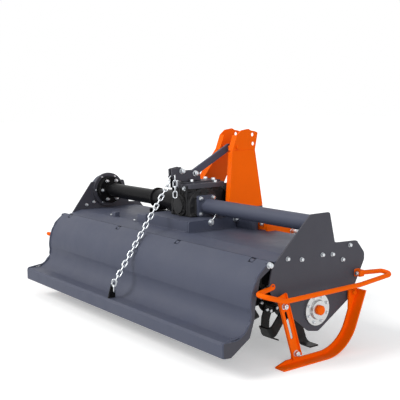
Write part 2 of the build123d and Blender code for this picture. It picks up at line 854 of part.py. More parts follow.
def chain_link(inner_length):
    """Link in the XY plane, long along X, of hexagonal wire with mitred bends."""
    half = (inner_length - chain_inner_width) / 2
    radius = (chain_inner_width + chain_wire) / 2
    corners = []
    for side in (1, -1):
        for k in range(chain_bend_sides + 1):
            turn = radians(90 - 180 * k / chain_bend_sides)
            corners.append((side * (half + radius * cos(turn)), side * radius * sin(turn)))
    start = (0, radius)
    loop = Polyline(start, *corners, start)
    wire = Plane(origin=(*start, 0), z_dir=(1, 0, 0)) * RegularPolygon(chain_wire / 2, 6)
    return sweep(wire, path=loop, transition=Transition.RIGHT)


def chain():
    """Links from the flap's lug up to the bracket's pin, and a loose tail."""
    pin = Vector(0, *chain_pin)
    hole = Vector(0, *flap_lug_hole)
    up = (pin - hole).normalized()
    retract = flap_lug_thick / 2 * tan(radians(90 / chain_bend_sides))
    low = hole + up * (flap_lug_hole_radius - chain_wire / 2 - retract - 2 * seat_gap)
    reach = (pin - low).length
    count = 2 * round(reach / chain_pitch / 2)
    seats = chain_pin_radius - chain_wire / 2 + seat_gap * count
    inner_length = (reach + seats) / count
    link = chain_link(inner_length)
    step = inner_length - seat_gap
    start = low + up * (inner_length + chain_wire) / 2
    tilt = degrees(atan2(up.Z, up.Y))
    links = []
    for k in range(count):
        centre = start + up * (step * k)
        lie = Rot(tilt, 0, 0) * Rot(0, 0, 90) * Rot(90 * (k % 2), 0, 0)
        links.append(Pos(*centre) * lie * link)
    tail_top = Vector(chain_tail_x, *chain_pin)
    drop = inner_length / 2 - chain_pin_radius - seat_gap
    for k in range(chain_tail_links):
        centre = tail_top - Vector(0, 0, drop + step * k)
        lie = Rot(0, 90, 0) * Rot(90 * (k % 2), 0, 0)
        links.append(Pos(*centre) * lie * link)
    nodes["flap_chain"] = Compound(children=links)


def hoops():
    """Bent guard rod round the skid, from the plate's rear edge to a front lug."""
    wall = plate_outer_x + seat_gap
    base = rotor_height
    front_y, front_rise = hoop_front
    lug_y, lug_rise = hoop_lug
    lug_x, lug_depth, lug_height = hoop_lug_size
    rear_y, rear_rise = hoop_rear_end
    inner_x = wall + hoop_return_x
    path = FilletPolyline(
        (wall - hoop_return_x, rear_y, base + rear_rise),
        (inner_x, hoop_rear[0], base + hoop_rear[1]),
        (hoop_x, hoop_rear[0], base + hoop_rear[1]),
        *((hoop_x, y, base + rise) for y, rise in (hoop_dip_rear, hoop_dip_front)),
        (hoop_x, front_y, base + front_rise),
        (inner_x, hoop_front_return[0], base + hoop_front_return[1]),
        (inner_x, lug_y + lug_depth / 2, base + lug_rise),
        radius=list(hoop_bend_radii),
    )
    start = Plane(origin=path @ 0, z_dir=path % 0)
    hoop = sweep(start * Circle(hoop_rod_radius), path=path)
    hoop = split(hoop, bisect_by=yz(wall), keep=Keep.TOP)
    lug = Pos(wall + lug_x / 2, lug_y, base + lug_rise) * Box(lug_x, lug_depth, lug_height)
    nodes["guard_hoop_right"] = hoop + lug
    nodes["guard_hoop_left"] = mirrored(nodes["guard_hoop_right"])


def skids():
    """Runner bent up to the front, with an upright web along its inner edge."""
    angle = radians(skid_arm_angle)
    top_height = rotor_height + skid_top_rise
    bend_end_y = skid_bend_y + skid_bend_radius * sin(angle)
    bend_end_z = skid_bend_radius * (1 - cos(angle))
    top_y = bend_end_y + (top_height - bend_end_z) / tan(angle)
    mid_y = skid_bend_y + skid_bend_radius * sin(angle / 2)
    mid_z = skid_bend_radius * (1 - cos(angle / 2))
    level = Line((skid_rear_y, 0), (skid_bend_y, 0))
    bend = ThreePointArc((skid_bend_y, 0), (mid_y, mid_z), (bend_end_y, bend_end_z))
    arm = Line((bend_end_y, bend_end_z), (top_y, top_height))
    path = Wire([*level.edges(), *bend.edges(), *arm.edges()])
    runner = slab(sheet_face(path, skid_sheet, Side.LEFT), skid_x, skid_x + skid_width)
    web = sheet_face(path, skid_web_depth, Side.LEFT)
    taper = Polyline(
        (skid_rear_y, skid_sheet),
        (skid_rear_y + skid_web_taper, skid_web_depth),
        (skid_rear_y, skid_web_depth),
        close=True,
    )
    runner += slab(web - make_face(taper), skid_x, skid_x + skid_sheet)
    gusset_depth, gusset_drop = skid_gusset
    gusset = Polyline(
        (top_y, top_height),
        (top_y - gusset_depth, top_height),
        (top_y - skid_web_depth - gusset_drop / tan(angle), top_height - gusset_drop),
        (top_y - gusset_drop / tan(angle), top_height - gusset_drop),
        close=True,
    )
    runner += slab(make_face(gusset), skid_x, skid_x + skid_sheet)
    low_y, low_z = strap_low
    lug_height = low_z + strap_lug_margin
    lug = Pos(low_y, lug_height / 2) * Rectangle(strap_lug_width, lug_height)
    runner += slab(lug, skid_x, skid_x + skid_sheet)
    bolt_height = top_height - skid_bolt_setback
    bolt_y = bend_end_y + (bolt_height - bend_end_z) / tan(angle)
    boss_place = (
        bolt_y - skid_bolt_depth * sin(angle),
        bolt_height + skid_bolt_depth * cos(angle),
    )
    wall = plate_outer_x + seat_gap
    runner += round_bar_x(*boss_place, skid_boss_radius, wall, skid_x)
    nodes["skid_right"] = runner
    nodes["skid_left"] = mirrored(runner)
    straps(wall)


def straps(wall):
    """Slotted channel from a boss on each side plate down to the skid's lug."""
    top = (plate_rear_y + strap_top_inset, rotor_height + strap_top_rise)
    low = strap_low
    length = hypot(top[0] - low[0], top[1] - low[1])
    tilt = degrees(atan2(top[1] - low[1], top[0] - low[0]))
    middle = ((low[0] + top[0]) / 2, (low[1] + top[1]) / 2)
    lie = Pos(*middle) * Rot(0, 0, tilt)
    whole = length + strap_head + strap_lug_width / 2
    shift = (strap_head - strap_lug_width / 2) / 2
    base_x = skid_x + skid_sheet + seat_gap
    slot_place = (length - slot_length) / 2 - slot_from_top
    slot = Pos(slot_place, 0) * SlotCenterToCenter(slot_length, slot_width)
    face = Pos(shift, 0) * Rectangle(whole, strap_width) - slot
    strap = slab(lie * face, base_x, base_x + strap_sheet)
    side_place = (strap_width - strap_sheet) / 2
    for across in (-side_place, side_place):
        side = Pos(shift, across) * Rectangle(whole, strap_sheet)
        strap += slab(lie * side, base_x, base_x + strap_depth)
    strap += round_bar_x(*top, skid_boss_radius, wall, base_x)
    nodes["skid_strap_right"] = strap
    nodes["skid_strap_left"] = mirrored(strap)


side_plates()
hood()
front_beam()
cross_tubes()
saddle()
mast_feet()
gearbox()
shaft_shield()
gearbox_bracket()
brace()
mast()
hitch_brackets()
drive_case()
right_bearing()
rotor()
flap()
hinge()
chain()
hoops()
skids()

os.makedirs("parts", exist_ok=True)
for name, solid in nodes.items():
    export_step(Pos(0, origin_shift, 0) * solid, f"parts/{name}.step")
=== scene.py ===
# %% [markdown]
# # A rotary tiller for a tractor
# The tiller's working structure comes ready made as a fixed frame: plates,
# tubes, rotor, flap and skids, in metres. This script dresses it. It paints
# each node, and adds what a CAD model leaves out, such as bolts, weld beads,
# chain links and splines. Nothing in the frame is moved.

# %% Load the fixed frame
import json
import bmesh
import bpy
import numpy as np
from math import pi, radians
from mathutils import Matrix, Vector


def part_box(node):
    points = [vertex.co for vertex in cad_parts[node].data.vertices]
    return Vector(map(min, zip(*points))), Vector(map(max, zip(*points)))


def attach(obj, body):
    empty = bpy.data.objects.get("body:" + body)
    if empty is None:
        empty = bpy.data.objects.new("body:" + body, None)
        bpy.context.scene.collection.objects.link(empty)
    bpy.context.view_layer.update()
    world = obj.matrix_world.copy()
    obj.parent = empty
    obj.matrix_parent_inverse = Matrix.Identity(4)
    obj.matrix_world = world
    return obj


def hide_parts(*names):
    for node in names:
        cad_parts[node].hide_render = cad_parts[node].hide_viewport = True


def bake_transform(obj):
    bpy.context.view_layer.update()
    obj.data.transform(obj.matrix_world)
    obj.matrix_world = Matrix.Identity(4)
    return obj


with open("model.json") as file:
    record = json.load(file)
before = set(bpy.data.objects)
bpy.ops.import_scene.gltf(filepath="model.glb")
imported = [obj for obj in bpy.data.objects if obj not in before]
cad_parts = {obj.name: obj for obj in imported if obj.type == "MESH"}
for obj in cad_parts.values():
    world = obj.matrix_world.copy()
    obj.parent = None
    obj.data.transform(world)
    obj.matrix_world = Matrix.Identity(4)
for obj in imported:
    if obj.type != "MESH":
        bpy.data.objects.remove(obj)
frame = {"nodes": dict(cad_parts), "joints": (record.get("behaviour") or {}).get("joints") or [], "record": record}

record = frame["record"]
joints = {joint["name"]: joint for joint in frame["joints"]}
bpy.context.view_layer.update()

# %% [markdown]
# ## Shader nodes
# Sky, floor and finishes are all small networks of shader nodes. Two helpers
# keep them readable: one adds a node and sets or links its inputs, and the
# other does a sum, which is what most of the nodes are there for.

# %% A small kit for shader nodes
def add_node(tree, kind, links=(), **settings):
    """Adds a node; links are (input name or number, socket or value) pairs."""
    node = tree.nodes.new(kind)
    for name, value in settings.items():
        setattr(node, name, value)
    for key, value in links:
        if isinstance(value, bpy.types.NodeSocket):
            tree.links.new(value, node.inputs[key])
        else:
            node.inputs[key].default_value = value
    return node


def maths(tree, operation, first, second=0.5, clamp=False):
    """One Math node; returns its value."""
    links = [(0, first), (1, second)]
    node = add_node(tree, "ShaderNodeMath", links, operation=operation, use_clamp=clamp)
    return node.outputs[0]

# %% [markdown]
# ## The studio
# A catalogue picture of a machine is lit softly from everywhere, with one
# broad lamp behind the photographer's shoulder that draws the edges. Two wide
# suns and an even sky do that here. White that the camera sees comes from the
# colour of floor and sky, so the lamps can stay at a plain level.

# %% Light the sky
def backdrop_rays(tree):
    """One where a ray comes from the camera or was mirrored or bent on its way."""
    path = add_node(tree, "ShaderNodeLightPath").outputs
    total = path["Is Camera Ray"]
    for name in ("Is Glossy Ray", "Is Transmission Ray"):
        total = maths(tree, "MAXIMUM", total, path[name])
    return total


world = bpy.data.worlds.new("studio_sky")
world.use_nodes = True
sky = world.node_tree
sky.nodes.clear()
daylight, white, sky_strength = (0.95, 0.98, 1.0, 1.0), (1.0, 1.0, 1.0, 1.0), 0.5
lit = add_node(sky, "ShaderNodeBackground", [("Color", daylight), ("Strength", sky_strength)])
seen = add_node(sky, "ShaderNodeBackground", [("Color", white)])
shares = [(0, backdrop_rays(sky)), (1, lit.outputs[0]), (2, seen.outputs[0])]
sky_mix = add_node(sky, "ShaderNodeMixShader", shares)
add_node(sky, "ShaderNodeOutputWorld", [(0, sky_mix.outputs[0])])
bpy.context.scene.world = world
print("sky at strength", sky_strength)

# %% Aim two wide suns
def unit(vectors):
    """Vectors scaled to a length of one."""
    return vectors / np.linalg.norm(vectors, axis=-1, keepdims=True)


def aim(thing, towards):
    """Turns a lamp so that its own minus Z axis points along a direction."""
    back = unit(-np.array(towards, float))
    right = unit(np.cross((0.0, 0.0, 1.0), back))
    up = np.cross(back, right)
    thing.matrix_world = [[*right, 0.0], [*up, 0.0], [*back, 0.0], [0.0, 0.0, 0.0, 1.0]]


def sun(name, towards, strength, softness, colour):
    """A distant lamp; softness is the angle that it covers, in degrees."""
    data = bpy.data.lights.new(name, "SUN")
    data.energy = strength
    data.angle = radians(softness)
    data.color = colour
    lamp = bpy.data.objects.new(name, data)
    bpy.context.scene.collection.objects.link(lamp)
    aim(lamp, towards)


sun("key_lamp", (0.35, 0.8, -0.75), 1.75, 25, (1.0, 0.985, 0.96))
sun("fill_lamp", (-0.85, 0.25, -0.4), 0.8, 45, (0.96, 0.98, 1.0))

# %% Lay the floor
reach, pale, floor_glow = 40.0, (0.9, 0.9, 0.9, 1.0), 0.34
floor_mesh = bpy.data.meshes.new("floor")
floor_mesh.from_pydata(
    [(-reach, -reach, 0), (reach, -reach, 0), (reach, reach, 0), (-reach, reach, 0)],
    [],
    [(0, 1, 2, 3)],
)
floor = bpy.data.objects.new("floor", floor_mesh)
bpy.context.scene.collection.objects.link(floor)
floor_finish = bpy.data.materials.new("studio_floor")
floor_finish.use_nodes = True
tree = floor_finish.node_tree
tree.nodes.clear()
matt = add_node(tree, "ShaderNodeBsdfDiffuse", [("Color", pale)])
glow = maths(tree, "MULTIPLY", backdrop_rays(tree), floor_glow)
lift = add_node(tree, "ShaderNodeEmission", [("Strength", glow)])
both = add_node(tree, "ShaderNodeAddShader", [(0, matt.outputs[0]), (1, lift.outputs[0])])
add_node(tree, "ShaderNodeOutputMaterial", [("Surface", both.outputs[0])])
floor_mesh.materials.append(floor_finish)
print("floor", 2 * reach, "m wide")

# %% [markdown]
# ## The camera
# The photograph is taken from behind and to the right, a little above the
# machine, from some five metres away. A lens of about 70 mm on a 36 mm sensor
# gives the same gentle perspective. The three axes come from matching straight
# edges of the machine in the picture, and a matrix takes them as its columns.

# %% Place the camera
camera_data = bpy.data.cameras.new("catalogue_camera")
camera_data.sensor_width = 36.0
camera_data.lens = 70.56
camera_data.clip_end = 200.0
camera = bpy.data.objects.new("catalogue_camera", camera_data)
bpy.context.scene.collection.objects.link(camera)
camera_right = np.array([0.5986, 0.8010, -0.0090])
camera_up = np.array([-0.0964, 0.0832, 0.9919])
camera_back = np.array([0.7952, -0.5929, 0.1270])
camera_place = np.array([3.85615, -2.75257, 1.31819])
camera.matrix_world = [
    [*camera_right, 0.0], [*camera_up, 0.0], [*camera_back, 0.0], [*camera_place, 1.0],
]
bpy.context.scene.camera = camera
bpy.context.scene.view_settings.view_transform = "Standard"
print("camera", round(float(np.linalg.norm(camera_place)), 2), "m from the machine's middle")

# %% [markdown]
# ## Effects that all paints share
# Real paint is never one flat colour. It has a faint orange peel, it varies a
# little from panel to panel, its edges are rubbed to bare metal and dust lies
# in its corners and on what faces up. Each effect is a node group that puts
# out one mask, colour or height, so that every material can use it with
# values of its own.

# %% A small kit for node groups
def new_group(name, inputs, outputs):
    """Empty shader group; inputs and outputs map a socket's name to its value."""
    group = bpy.data.node_groups.new(name, "ShaderNodeTree")
    for side, sockets in (("INPUT", inputs), ("OUTPUT", outputs)):
        for title, value in sockets.items():
            kind = "NodeSocketColor" if isinstance(value, tuple) else "NodeSocketFloat"
            socket = group.interface.new_socket(title, in_out=side, socket_type=kind)
            if side == "INPUT":
                socket.default_value = value
    given = group.nodes.new("NodeGroupInput")
    result = group.nodes.new("NodeGroupOutput")
    return group, given.outputs, result.inputs


def noise(tree, scale, detail=3.0, roughness=0.5):
    """Noise on Object coordinates, in metres; returns its value."""
    place = add_node(tree, "ShaderNodeTexCoord").outputs["Object"]
    links = [("Vector", place), ("Scale", scale), ("Detail", detail), ("Roughness", roughness)]
    return add_node(tree, "ShaderNodeTexNoise", links).outputs["Fac"]


def ramp(tree, value, low, high):
    """Stretches the range from low to high over 0 to 1."""
    links = [("Value", value), ("From Min", low), ("From Max", high)]
    return add_node(tree, "ShaderNodeMapRange", links, clamp=True).outputs["Result"]


def mix_colour(tree, share, first, second):
    """Colour that goes from first to second as share goes from 0 to 1."""
    links = [(0, share), (6, first), (7, second)]
    return add_node(tree, "ShaderNodeMix", links, data_type="RGBA").outputs[2]

# %% Rubbed edges
wear, given, result = new_group(
    "edge_wear",
    {"Width": 0.003, "Amount": 1.0, "Grain": 60.0},
    {"Mask": 0.0},
)
soft = add_node(wear, "ShaderNodeBevel", [("Radius", given["Width"])], samples=6)
true = add_node(wear, "ShaderNodeNewGeometry")
agree = add_node(
    wear,
    "ShaderNodeVectorMath",
    [(0, soft.outputs["Normal"]), (1, true.outputs["Normal"])],
    operation="DOT_PRODUCT",
).outputs["Value"]
turned = maths(wear, "SUBTRACT", 1.0, agree)
broken = noise(wear, given["Grain"], 4.0, 0.65)
edge = maths(wear, "MULTIPLY", ramp(wear, turned, 0.02, 0.16), ramp(wear, broken, 0.44, 0.62))
patches = ramp(wear, noise(wear, 7.0, 2.0), 0.40, 0.62)
edge = maths(wear, "MULTIPLY", edge, patches)
wear.links.new(maths(wear, "MULTIPLY", edge, given["Amount"], True), result["Mask"])

# %% Dust on top and in corners
dust, given, result = new_group("settled_dust", {"Amount": 0.5}, {"Mask": 0.0})
geometry = add_node(dust, "ShaderNodeNewGeometry")
facing = add_node(dust, "ShaderNodeSeparateXYZ", [(0, geometry.outputs["Normal"])])
upward = ramp(dust, facing.outputs["Z"], 0.2, 1.0)
corner = add_node(dust, "ShaderNodeAmbientOcclusion", [("Distance", 0.05)], samples=6)
hidden = ramp(dust, corner.outputs["AO"], 0.85, 0.35)
cloud = ramp(dust, noise(dust, 5.0, 5.0, 0.6), 0.35, 0.75)
speck = ramp(dust, noise(dust, 160.0, 2.0, 0.6), 0.45, 0.7)
lying = maths(dust, "MAXIMUM", maths(dust, "MULTIPLY", upward, 0.5), hidden)
lying = maths(dust, "MULTIPLY", lying, cloud)
lying = maths(dust, "MULTIPLY", lying, maths(dust, "ADD", speck, 0.6))
dust.links.new(maths(dust, "MULTIPLY", lying, given["Amount"], True), result["Mask"])

# %% Uneven colour
tone, given, result = new_group(
    "uneven_tone",
    {"Colour": (0.5, 0.5, 0.5, 1.0), "Shift": 0.1},
    {"Colour": (0.5, 0.5, 0.5, 1.0)},
)
large = maths(tone, "SUBTRACT", noise(tone, 2.2, 4.0, 0.55), 0.5)
small = maths(tone, "SUBTRACT", noise(tone, 45.0, 3.0, 0.6), 0.5)
swing = maths(tone, "ADD", maths(tone, "MULTIPLY", large, 1.6), maths(tone, "MULTIPLY", small, 0.5))
value = maths(tone, "ADD", 1.0, maths(tone, "MULTIPLY", swing, given["Shift"]))
shade = add_node(tone, "ShaderNodeHueSaturation", [("Value", value), ("Color", given["Colour"])])
tone.links.new(shade.outputs["Color"], result["Colour"])

# %% Fine surface height
skin, given, result = new_group("surface_height", {"Scale": 400.0, "Pits": 0.0}, {"Height": 0.0})
peel = noise(skin, given["Scale"], 2.0, 0.5)
pits = ramp(skin, noise(skin, maths(skin, "MULTIPLY", given["Scale"], 0.25), 5.0, 0.7), 0.3, 0.5)
deep = maths(skin, "MULTIPLY", pits, given["Pits"])
skin.links.new(maths(skin, "ADD", peel, deep), result["Height"])
print("node groups", sorted(g.name for g in bpy.data.node_groups))

# %% [markdown]
# ## The finishes
# The hood and the flap are powder coated slate blue. The plates at their ends,
# the gearbox's bracket and lid and the drive case's disc wear a darker, greyer
# copy of that slate, which is painted shade. Mast, guards and skids are orange,
# the gearbox and the tines black. Bolts and chain are zinc plated, and the
# bearing's housing is turned bright. One function builds them all, because they
# differ only in their values. What stays the same all over a surface, such as
# its specular level, is set on the shader itself.

# %% Build the finishes
def use_group(tree, name, **values):
    """Places a shared group and sets its inputs; returns its first output."""
    group = bpy.data.node_groups[name]
    return add_node(tree, "ShaderNodeGroup", values.items(), node_tree=group).outputs[0]


def finish(
    name, colour, roughness, metallic=0.0, shine=0.5, shift=0.12, worn=0.5, dusty=0.5,
    peel=400.0, pits=0.0, bump=0.04, under=(0.32, 0.31, 0.30),
):
    """Paint or plating over metal, with wear, dust, uneven tone and fine bumps."""
    material = bpy.data.materials.new(name)
    material.use_nodes = True
    tree = material.node_tree
    shader = tree.nodes["Principled BSDF"]
    base = use_group(tree, "uneven_tone", Colour=(*colour, 1.0), Shift=shift)
    rubbed = use_group(tree, "edge_wear", Amount=worn)
    lying = use_group(tree, "settled_dust", Amount=dusty)
    base = mix_colour(tree, rubbed, base, (*under, 1.0))
    base = mix_colour(tree, lying, base, (0.30, 0.28, 0.25, 1.0))
    tree.links.new(base, shader.inputs["Base Color"])
    smear = maths(tree, "SUBTRACT", noise(tree, 12.0, 4.0, 0.6), 0.5)
    dull = maths(tree, "ADD", roughness, maths(tree, "MULTIPLY", smear, 0.25))
    dull = maths(tree, "ADD", dull, maths(tree, "MULTIPLY", lying, 0.4), True)
    tree.links.new(dull, shader.inputs["Roughness"])
    if metallic < 1.0:
        bare = maths(tree, "MAXIMUM", maths(tree, "MULTIPLY", rubbed, 0.8), metallic)
        tree.links.new(bare, shader.inputs["Metallic"])
    else:
        tree.links.new(maths(tree, "SUBTRACT", 1.0, lying), shader.inputs["Metallic"])
    shader.inputs["Specular IOR Level"].default_value = shine
    height = use_group(tree, "surface_height", Scale=peel, Pits=pits)
    links = [("Height", height), ("Strength", bump), ("Distance", 0.001)]
    bumps = add_node(tree, "ShaderNodeBump", links)
    tree.links.new(bumps.outputs["Normal"], shader.inputs["Normal"])
    return material

# %% Mix the finishes of this machine
slate = finish(
    "slate_powder_coat", (0.062, 0.070, 0.108), 0.50,
    shine=0.32, worn=0.6, dusty=0.18, bump=0.12, under=(0.20, 0.20, 0.21),
)
# A darker, greyer copy of the slate, as painted shade on parts that stand in shade.
shaded_slate = finish(
    "graphite_paint", (0.053, 0.052, 0.067), 0.48, shine=0.3, worn=0.6, dusty=0.12, bump=0.12,
)
orange = finish(
    "orange_powder_coat", (1.0, 0.135, 0.0), 0.42,
    shine=0.06, dusty=0.03, bump=0.10, under=(0.45, 0.16, 0.06),
)
black = finish(
    "black_enamel", (0.006, 0.006, 0.007), 0.34, shine=0.07, shift=0.3, dusty=0.05, bump=0.15,
)
casting = finish(
    "black_cast_iron", (0.018, 0.018, 0.020), 0.46,
    shine=0.2, shift=0.3, worn=0.6, dusty=0.14, peel=260.0, pits=0.6, bump=0.5,
)
zinc = finish(
    "zinc_plating", (0.62, 0.645, 0.67), 0.30,
    metallic=1.0, shift=0.25, worn=0.0, dusty=0.2, bump=0.2,
)
steel = finish(
    "dark_forged_steel", (0.013, 0.0125, 0.0125), 0.42,
    shine=0.25, shift=0.35, worn=0.8, dusty=0.1, peel=220.0, pits=0.5, bump=0.4,
)
bright = finish(
    "turned_steel", (0.56, 0.56, 0.56), 0.26,
    metallic=1.0, shift=0.15, worn=0.0, dusty=0.2, bump=0.1,
)
print("materials", sorted(m.name for m in bpy.data.materials))

# %% Give each node of the frame its finish
slots = {
    "body_paint": slate,
    "frame_paint": orange,
    "black_paint": black,
    "zinc": zinc,
    "steel": steel,
}
finishes = {part["node"]: slots[part["material_slot"]] for part in record["subparts"]}
cast_nodes = ("gearbox_housing", "gearbox_rear_cover", "input_neck")
# Nodes that wear the slate's painted shade.
shaded_slate_nodes = (
    "gearbox_bracket", "drive_case_flange", "side_plate_left", "side_plate_right",
    "flap_end_left", "flap_end_right",
)
finishes.update(dict.fromkeys(cast_nodes, casting))
finishes.update(dict.fromkeys(shaded_slate_nodes, shaded_slate))
finishes.update(hinge_rod=steel, brace_pins=orange, bearing_housing=bright)
for name, node in frame["nodes"].items():
    node.data.materials.clear()
    node.data.materials.append(finishes[name])
print("finished nodes", len(finishes))

# %% [markdown]
# ## Making pieces
# Every added piece is a surface worked out as a whole grid: rows run along a
# profile or a path, columns run round it. One function turns such a grid, or
# a stack of equal grids for a set of bolts, into a mesh, closes its poles and
# lets it ride on the body that carries it. Sizes are in millimetres with the
# rotor's axis at Y = 0, as on a workshop drawing, and become metres here.

# %% Millimetres and metres
rotor_place = joints["rotor_spin"]["pos_m"]
rotor_y = rotor_place[1]  # stays in metres, for the two functions below
rotor_z = rotor_place[2] * 1000


def to_metres(points):
    """Millimetres from the rotor's axis in Y, to metres in the frame."""
    return np.asarray(points, float) / 1000 + np.array([0.0, rotor_y, 0.0])


def node_box(name):
    """Lowest and highest corner of a node, in the same millimetres."""
    corners = np.array([list(corner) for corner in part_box(name)])
    return (corners - [0.0, rotor_y, 0.0]) * 1000


print("rotor's axis at Y", round(rotor_y, 4), "m and Z", round(rotor_z, 1), "mm")

# %% Grids into meshes
def grid_faces(copies, rows, columns):
    """Quads of equal grids as one array; columns wrap round, rows don't."""
    r = np.arange(rows - 1)[:, None] * columns
    c = np.arange(columns)[None, :]
    right = (c + 1) % columns
    quad = np.stack([r + c, r + right, r + columns + right, r + columns + c], -1)
    start = np.arange(copies)[:, None, None] * rows * columns
    return (start + quad.reshape(1, -1, 4)).reshape(-1, 4)


def grid_mesh(name, stacks):
    """Mesh of stacks of grids shaped copies x rows x columns x 3, in mm.

    Points that fall together, at poles and where a loop closes, are merged.
    """
    points, faces, start = [], [], 0
    for stack in stacks if isinstance(stacks, list) else [stacks]:
        stack = stack if stack.ndim == 4 else stack[None]
        points.append(stack.reshape(-1, 3))
        faces.append(grid_faces(*stack.shape[:3]) + start)
        start += len(points[-1])
    mesh = bpy.data.meshes.new(name)
    metres = to_metres(np.concatenate(points))
    mesh.from_pydata(metres.tolist(), [], np.concatenate(faces).tolist())
    whole = bmesh.new()
    whole.from_mesh(mesh)
    bmesh.ops.remove_doubles(whole, verts=whole.verts, dist=0.000005)
    bmesh.ops.recalc_face_normals(whole, faces=whole.faces)
    whole.to_mesh(mesh)
    whole.free()
    return mesh

# %% Meshes into pieces
def piece(name, mesh, material, body, sharp=35):
    """Object of a mesh or of grids, smooth but for edges sharper than an angle."""
    mesh = mesh if isinstance(mesh, bpy.types.Mesh) else grid_mesh(name, mesh)
    thing = bpy.data.objects.new(name, mesh)
    bpy.context.scene.collection.objects.link(thing)
    mesh.shade_smooth()
    mesh.set_sharp_from_angle(angle=radians(sharp))
    mesh.materials.clear()
    mesh.materials.append(material)
    if body:
        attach(thing, body)
    print(name, len(mesh.polygons), "faces")
    return thing

# %% Places measured on the frame
plate_x = node_box("side_plate_right")[1][0]
deck_z = node_box("hood")[1][2]
tube_y, tube_z = tube = node_box("drive_case_flange").mean(0)[1:]
saddle_low, saddle_high = node_box("gearbox_saddle")
gear_low, gear_high = node_box("gearbox_housing")
foot_x = node_box("mast_foot_right")[1][0]
case_x = node_box("drive_case_cover")[0][0]
disc_x = node_box("drive_case_flange")[1][0]
base_plate = 10.3
base_top = gear_high[2] + base_plate
print("deck at", round(deck_z, 1), "and tube at", round(tube_y, 1), round(tube_z, 1))
print("top of the gearbox", round(gear_high[2], 1), "and of the bracket's base", round(base_top, 1))

# %% [markdown]
# ## Shapes turned on a lathe
# Bolts, plugs, caps and pins are all turned: a profile of (radius, height)
# pairs swept once round an axis. Where the radius also depends on the angle,
# the same grid gives a hexagon or a spline. All fasteners are copies of a
# few grids, each turned to its own direction and moved.

# %% Lathe grid and its copies
def lathe(profile, columns=24):
    """Rows (radius, height) swept round Z; a radius may be an array over the angle."""
    angle = np.arange(columns) * 2 * pi / columns
    radius = np.stack([np.broadcast_to(r, columns) for r, h in profile])
    height = np.stack([np.full(columns, float(h)) for r, h in profile])
    return np.stack([radius * np.cos(angle), radius * np.sin(angle), height], -1)

# %% Copies turned and moved
to_right, to_left = (1, 0, 0), (-1, 0, 0)
to_front, to_back, to_top = (0, 1, 0), (0, -1, 0), (0, 0, 1)


def placed(grid, places, directions, sizes=2.0):
    """Copies of a grid: scaled by half the size, turned along a direction, and moved.

    Each direction gets two axes at right angles to it by cross products, and
    a point is place + size / 2 x (x axis1 + y axis2 + z direction).
    """
    places = np.atleast_2d(np.array(places, float))
    directions = np.broadcast_to(np.array(directions, float), places.shape)
    along = unit(directions)
    helper = np.where(np.abs(along[:, :1]) > 0.9, [[0.0, 0.0, 1.0]], [[1.0, 0.0, 0.0]])
    side = unit(np.cross(helper, along))
    axes = np.stack([side, np.cross(along, side), along], 1)
    scale = np.broadcast_to(np.array(sizes, float) / 2, len(places))
    turned = np.einsum("rck,nkj->nrcj", grid, axes) * scale[:, None, None, None]
    return turned + places[:, None, None, :]

# %% Both sides, and circles of bolts
def mirrored(places):
    """Places of the right side, first copied to the left and then as they are."""
    right = np.atleast_2d(np.array(places, float))
    return np.concatenate([right * [-1, 1, 1], right])


def both_sides(grid, places, sizes=2.0):
    """Copies of a grid on both sides of the machine, facing outwards."""
    places = mirrored(places)
    return placed(grid, places, places * [1, 0, 0], sizes)


def circle_x(x, y, z, radius, count, start=0.0):
    """Points evenly round an axis along X; the angle starts at Y and turns to Z."""
    angle = np.radians(start) + np.arange(count) * 2 * pi / count
    return np.stack([np.full(count, x), y + radius * np.cos(angle), z + radius * np.sin(angle)], 1)


def circle_y(y, z, radius, count, start=0.0):
    """Points evenly round an axis along Y in the machine's middle, from X to Z."""
    return circle_x(y, 0, z, radius, count, start)[:, [1, 0, 2]]

# %% [markdown]
# ## Bolts, nuts and washers
# A bolt's head is a hexagon with its corners turned down, on a round washer.
# Each row of the grid is a ring: a circle for the washer, and for the hexagon
# the flat's distance divided by a cosine. The grids are drawn two units wide
# over the flats, so that a copy's size is its spanner's size in millimetres.
# The small grid for the tines has only a few dozen faces, because it is
# repeated over two hundred times.

# %% Fastener grids
def hexagon(columns):
    """Radius over the angle of a hexagon with its flats at 1 from the middle."""
    angle = np.arange(columns) * 2 * pi / columns
    return 1 / np.cos((angle + pi / 6) % (pi / 3) - pi / 6)


def fastener(columns=24, thick=1.25, washer=1.35, stud=0.0):
    """Washer, hexagon with turned corners and a stud's end, from the seat up along Z."""
    flats = hexagon(columns)
    top = 0.18 + thick
    rows = [(0, 0), (washer, 0), (washer, 0.16), (1.04 * flats, 0.18), (1.04 * flats, top - 0.22)]
    rows += [(np.minimum(flats, 1.05), top - 0.07), (0.9, top)]
    if stud:
        rows += [(0.52, top), (0.52, top + stud - 0.08), (0.42, top + stud), (0, top + stud)]
    else:
        rows.append((0, top))
    return lathe(rows, columns)


head, nut = fastener(), fastener(thick=1.5, stud=0.45)
plain_hexagon = hexagon(12)
small_rows = [(0, 0), (plain_hexagon, 0), (plain_hexagon, 1.0), (0.86, 1.25), (0, 1.25)]
small_head = lathe(small_rows, 12)
screw = lathe([(0, 0), (1, 0), (1, 0.5), (0.7, 0.85), (0.3, 0.95), (0, 0.95)], 16)
print("rows and columns of a head", head.shape[:2], "and of a small one", small_head.shape[:2])

# %% [markdown]
# ## Where the fasteners sit
# Bolts through each side plate hold the hood's end flanges. A turned boss on
# the left plate closes the drive case, and the drive tube is bolted to it.
# The right tube ends in a square flange on the gearbox. The places on the
# side plate are read off the picture; rings and squares follow the nodes.

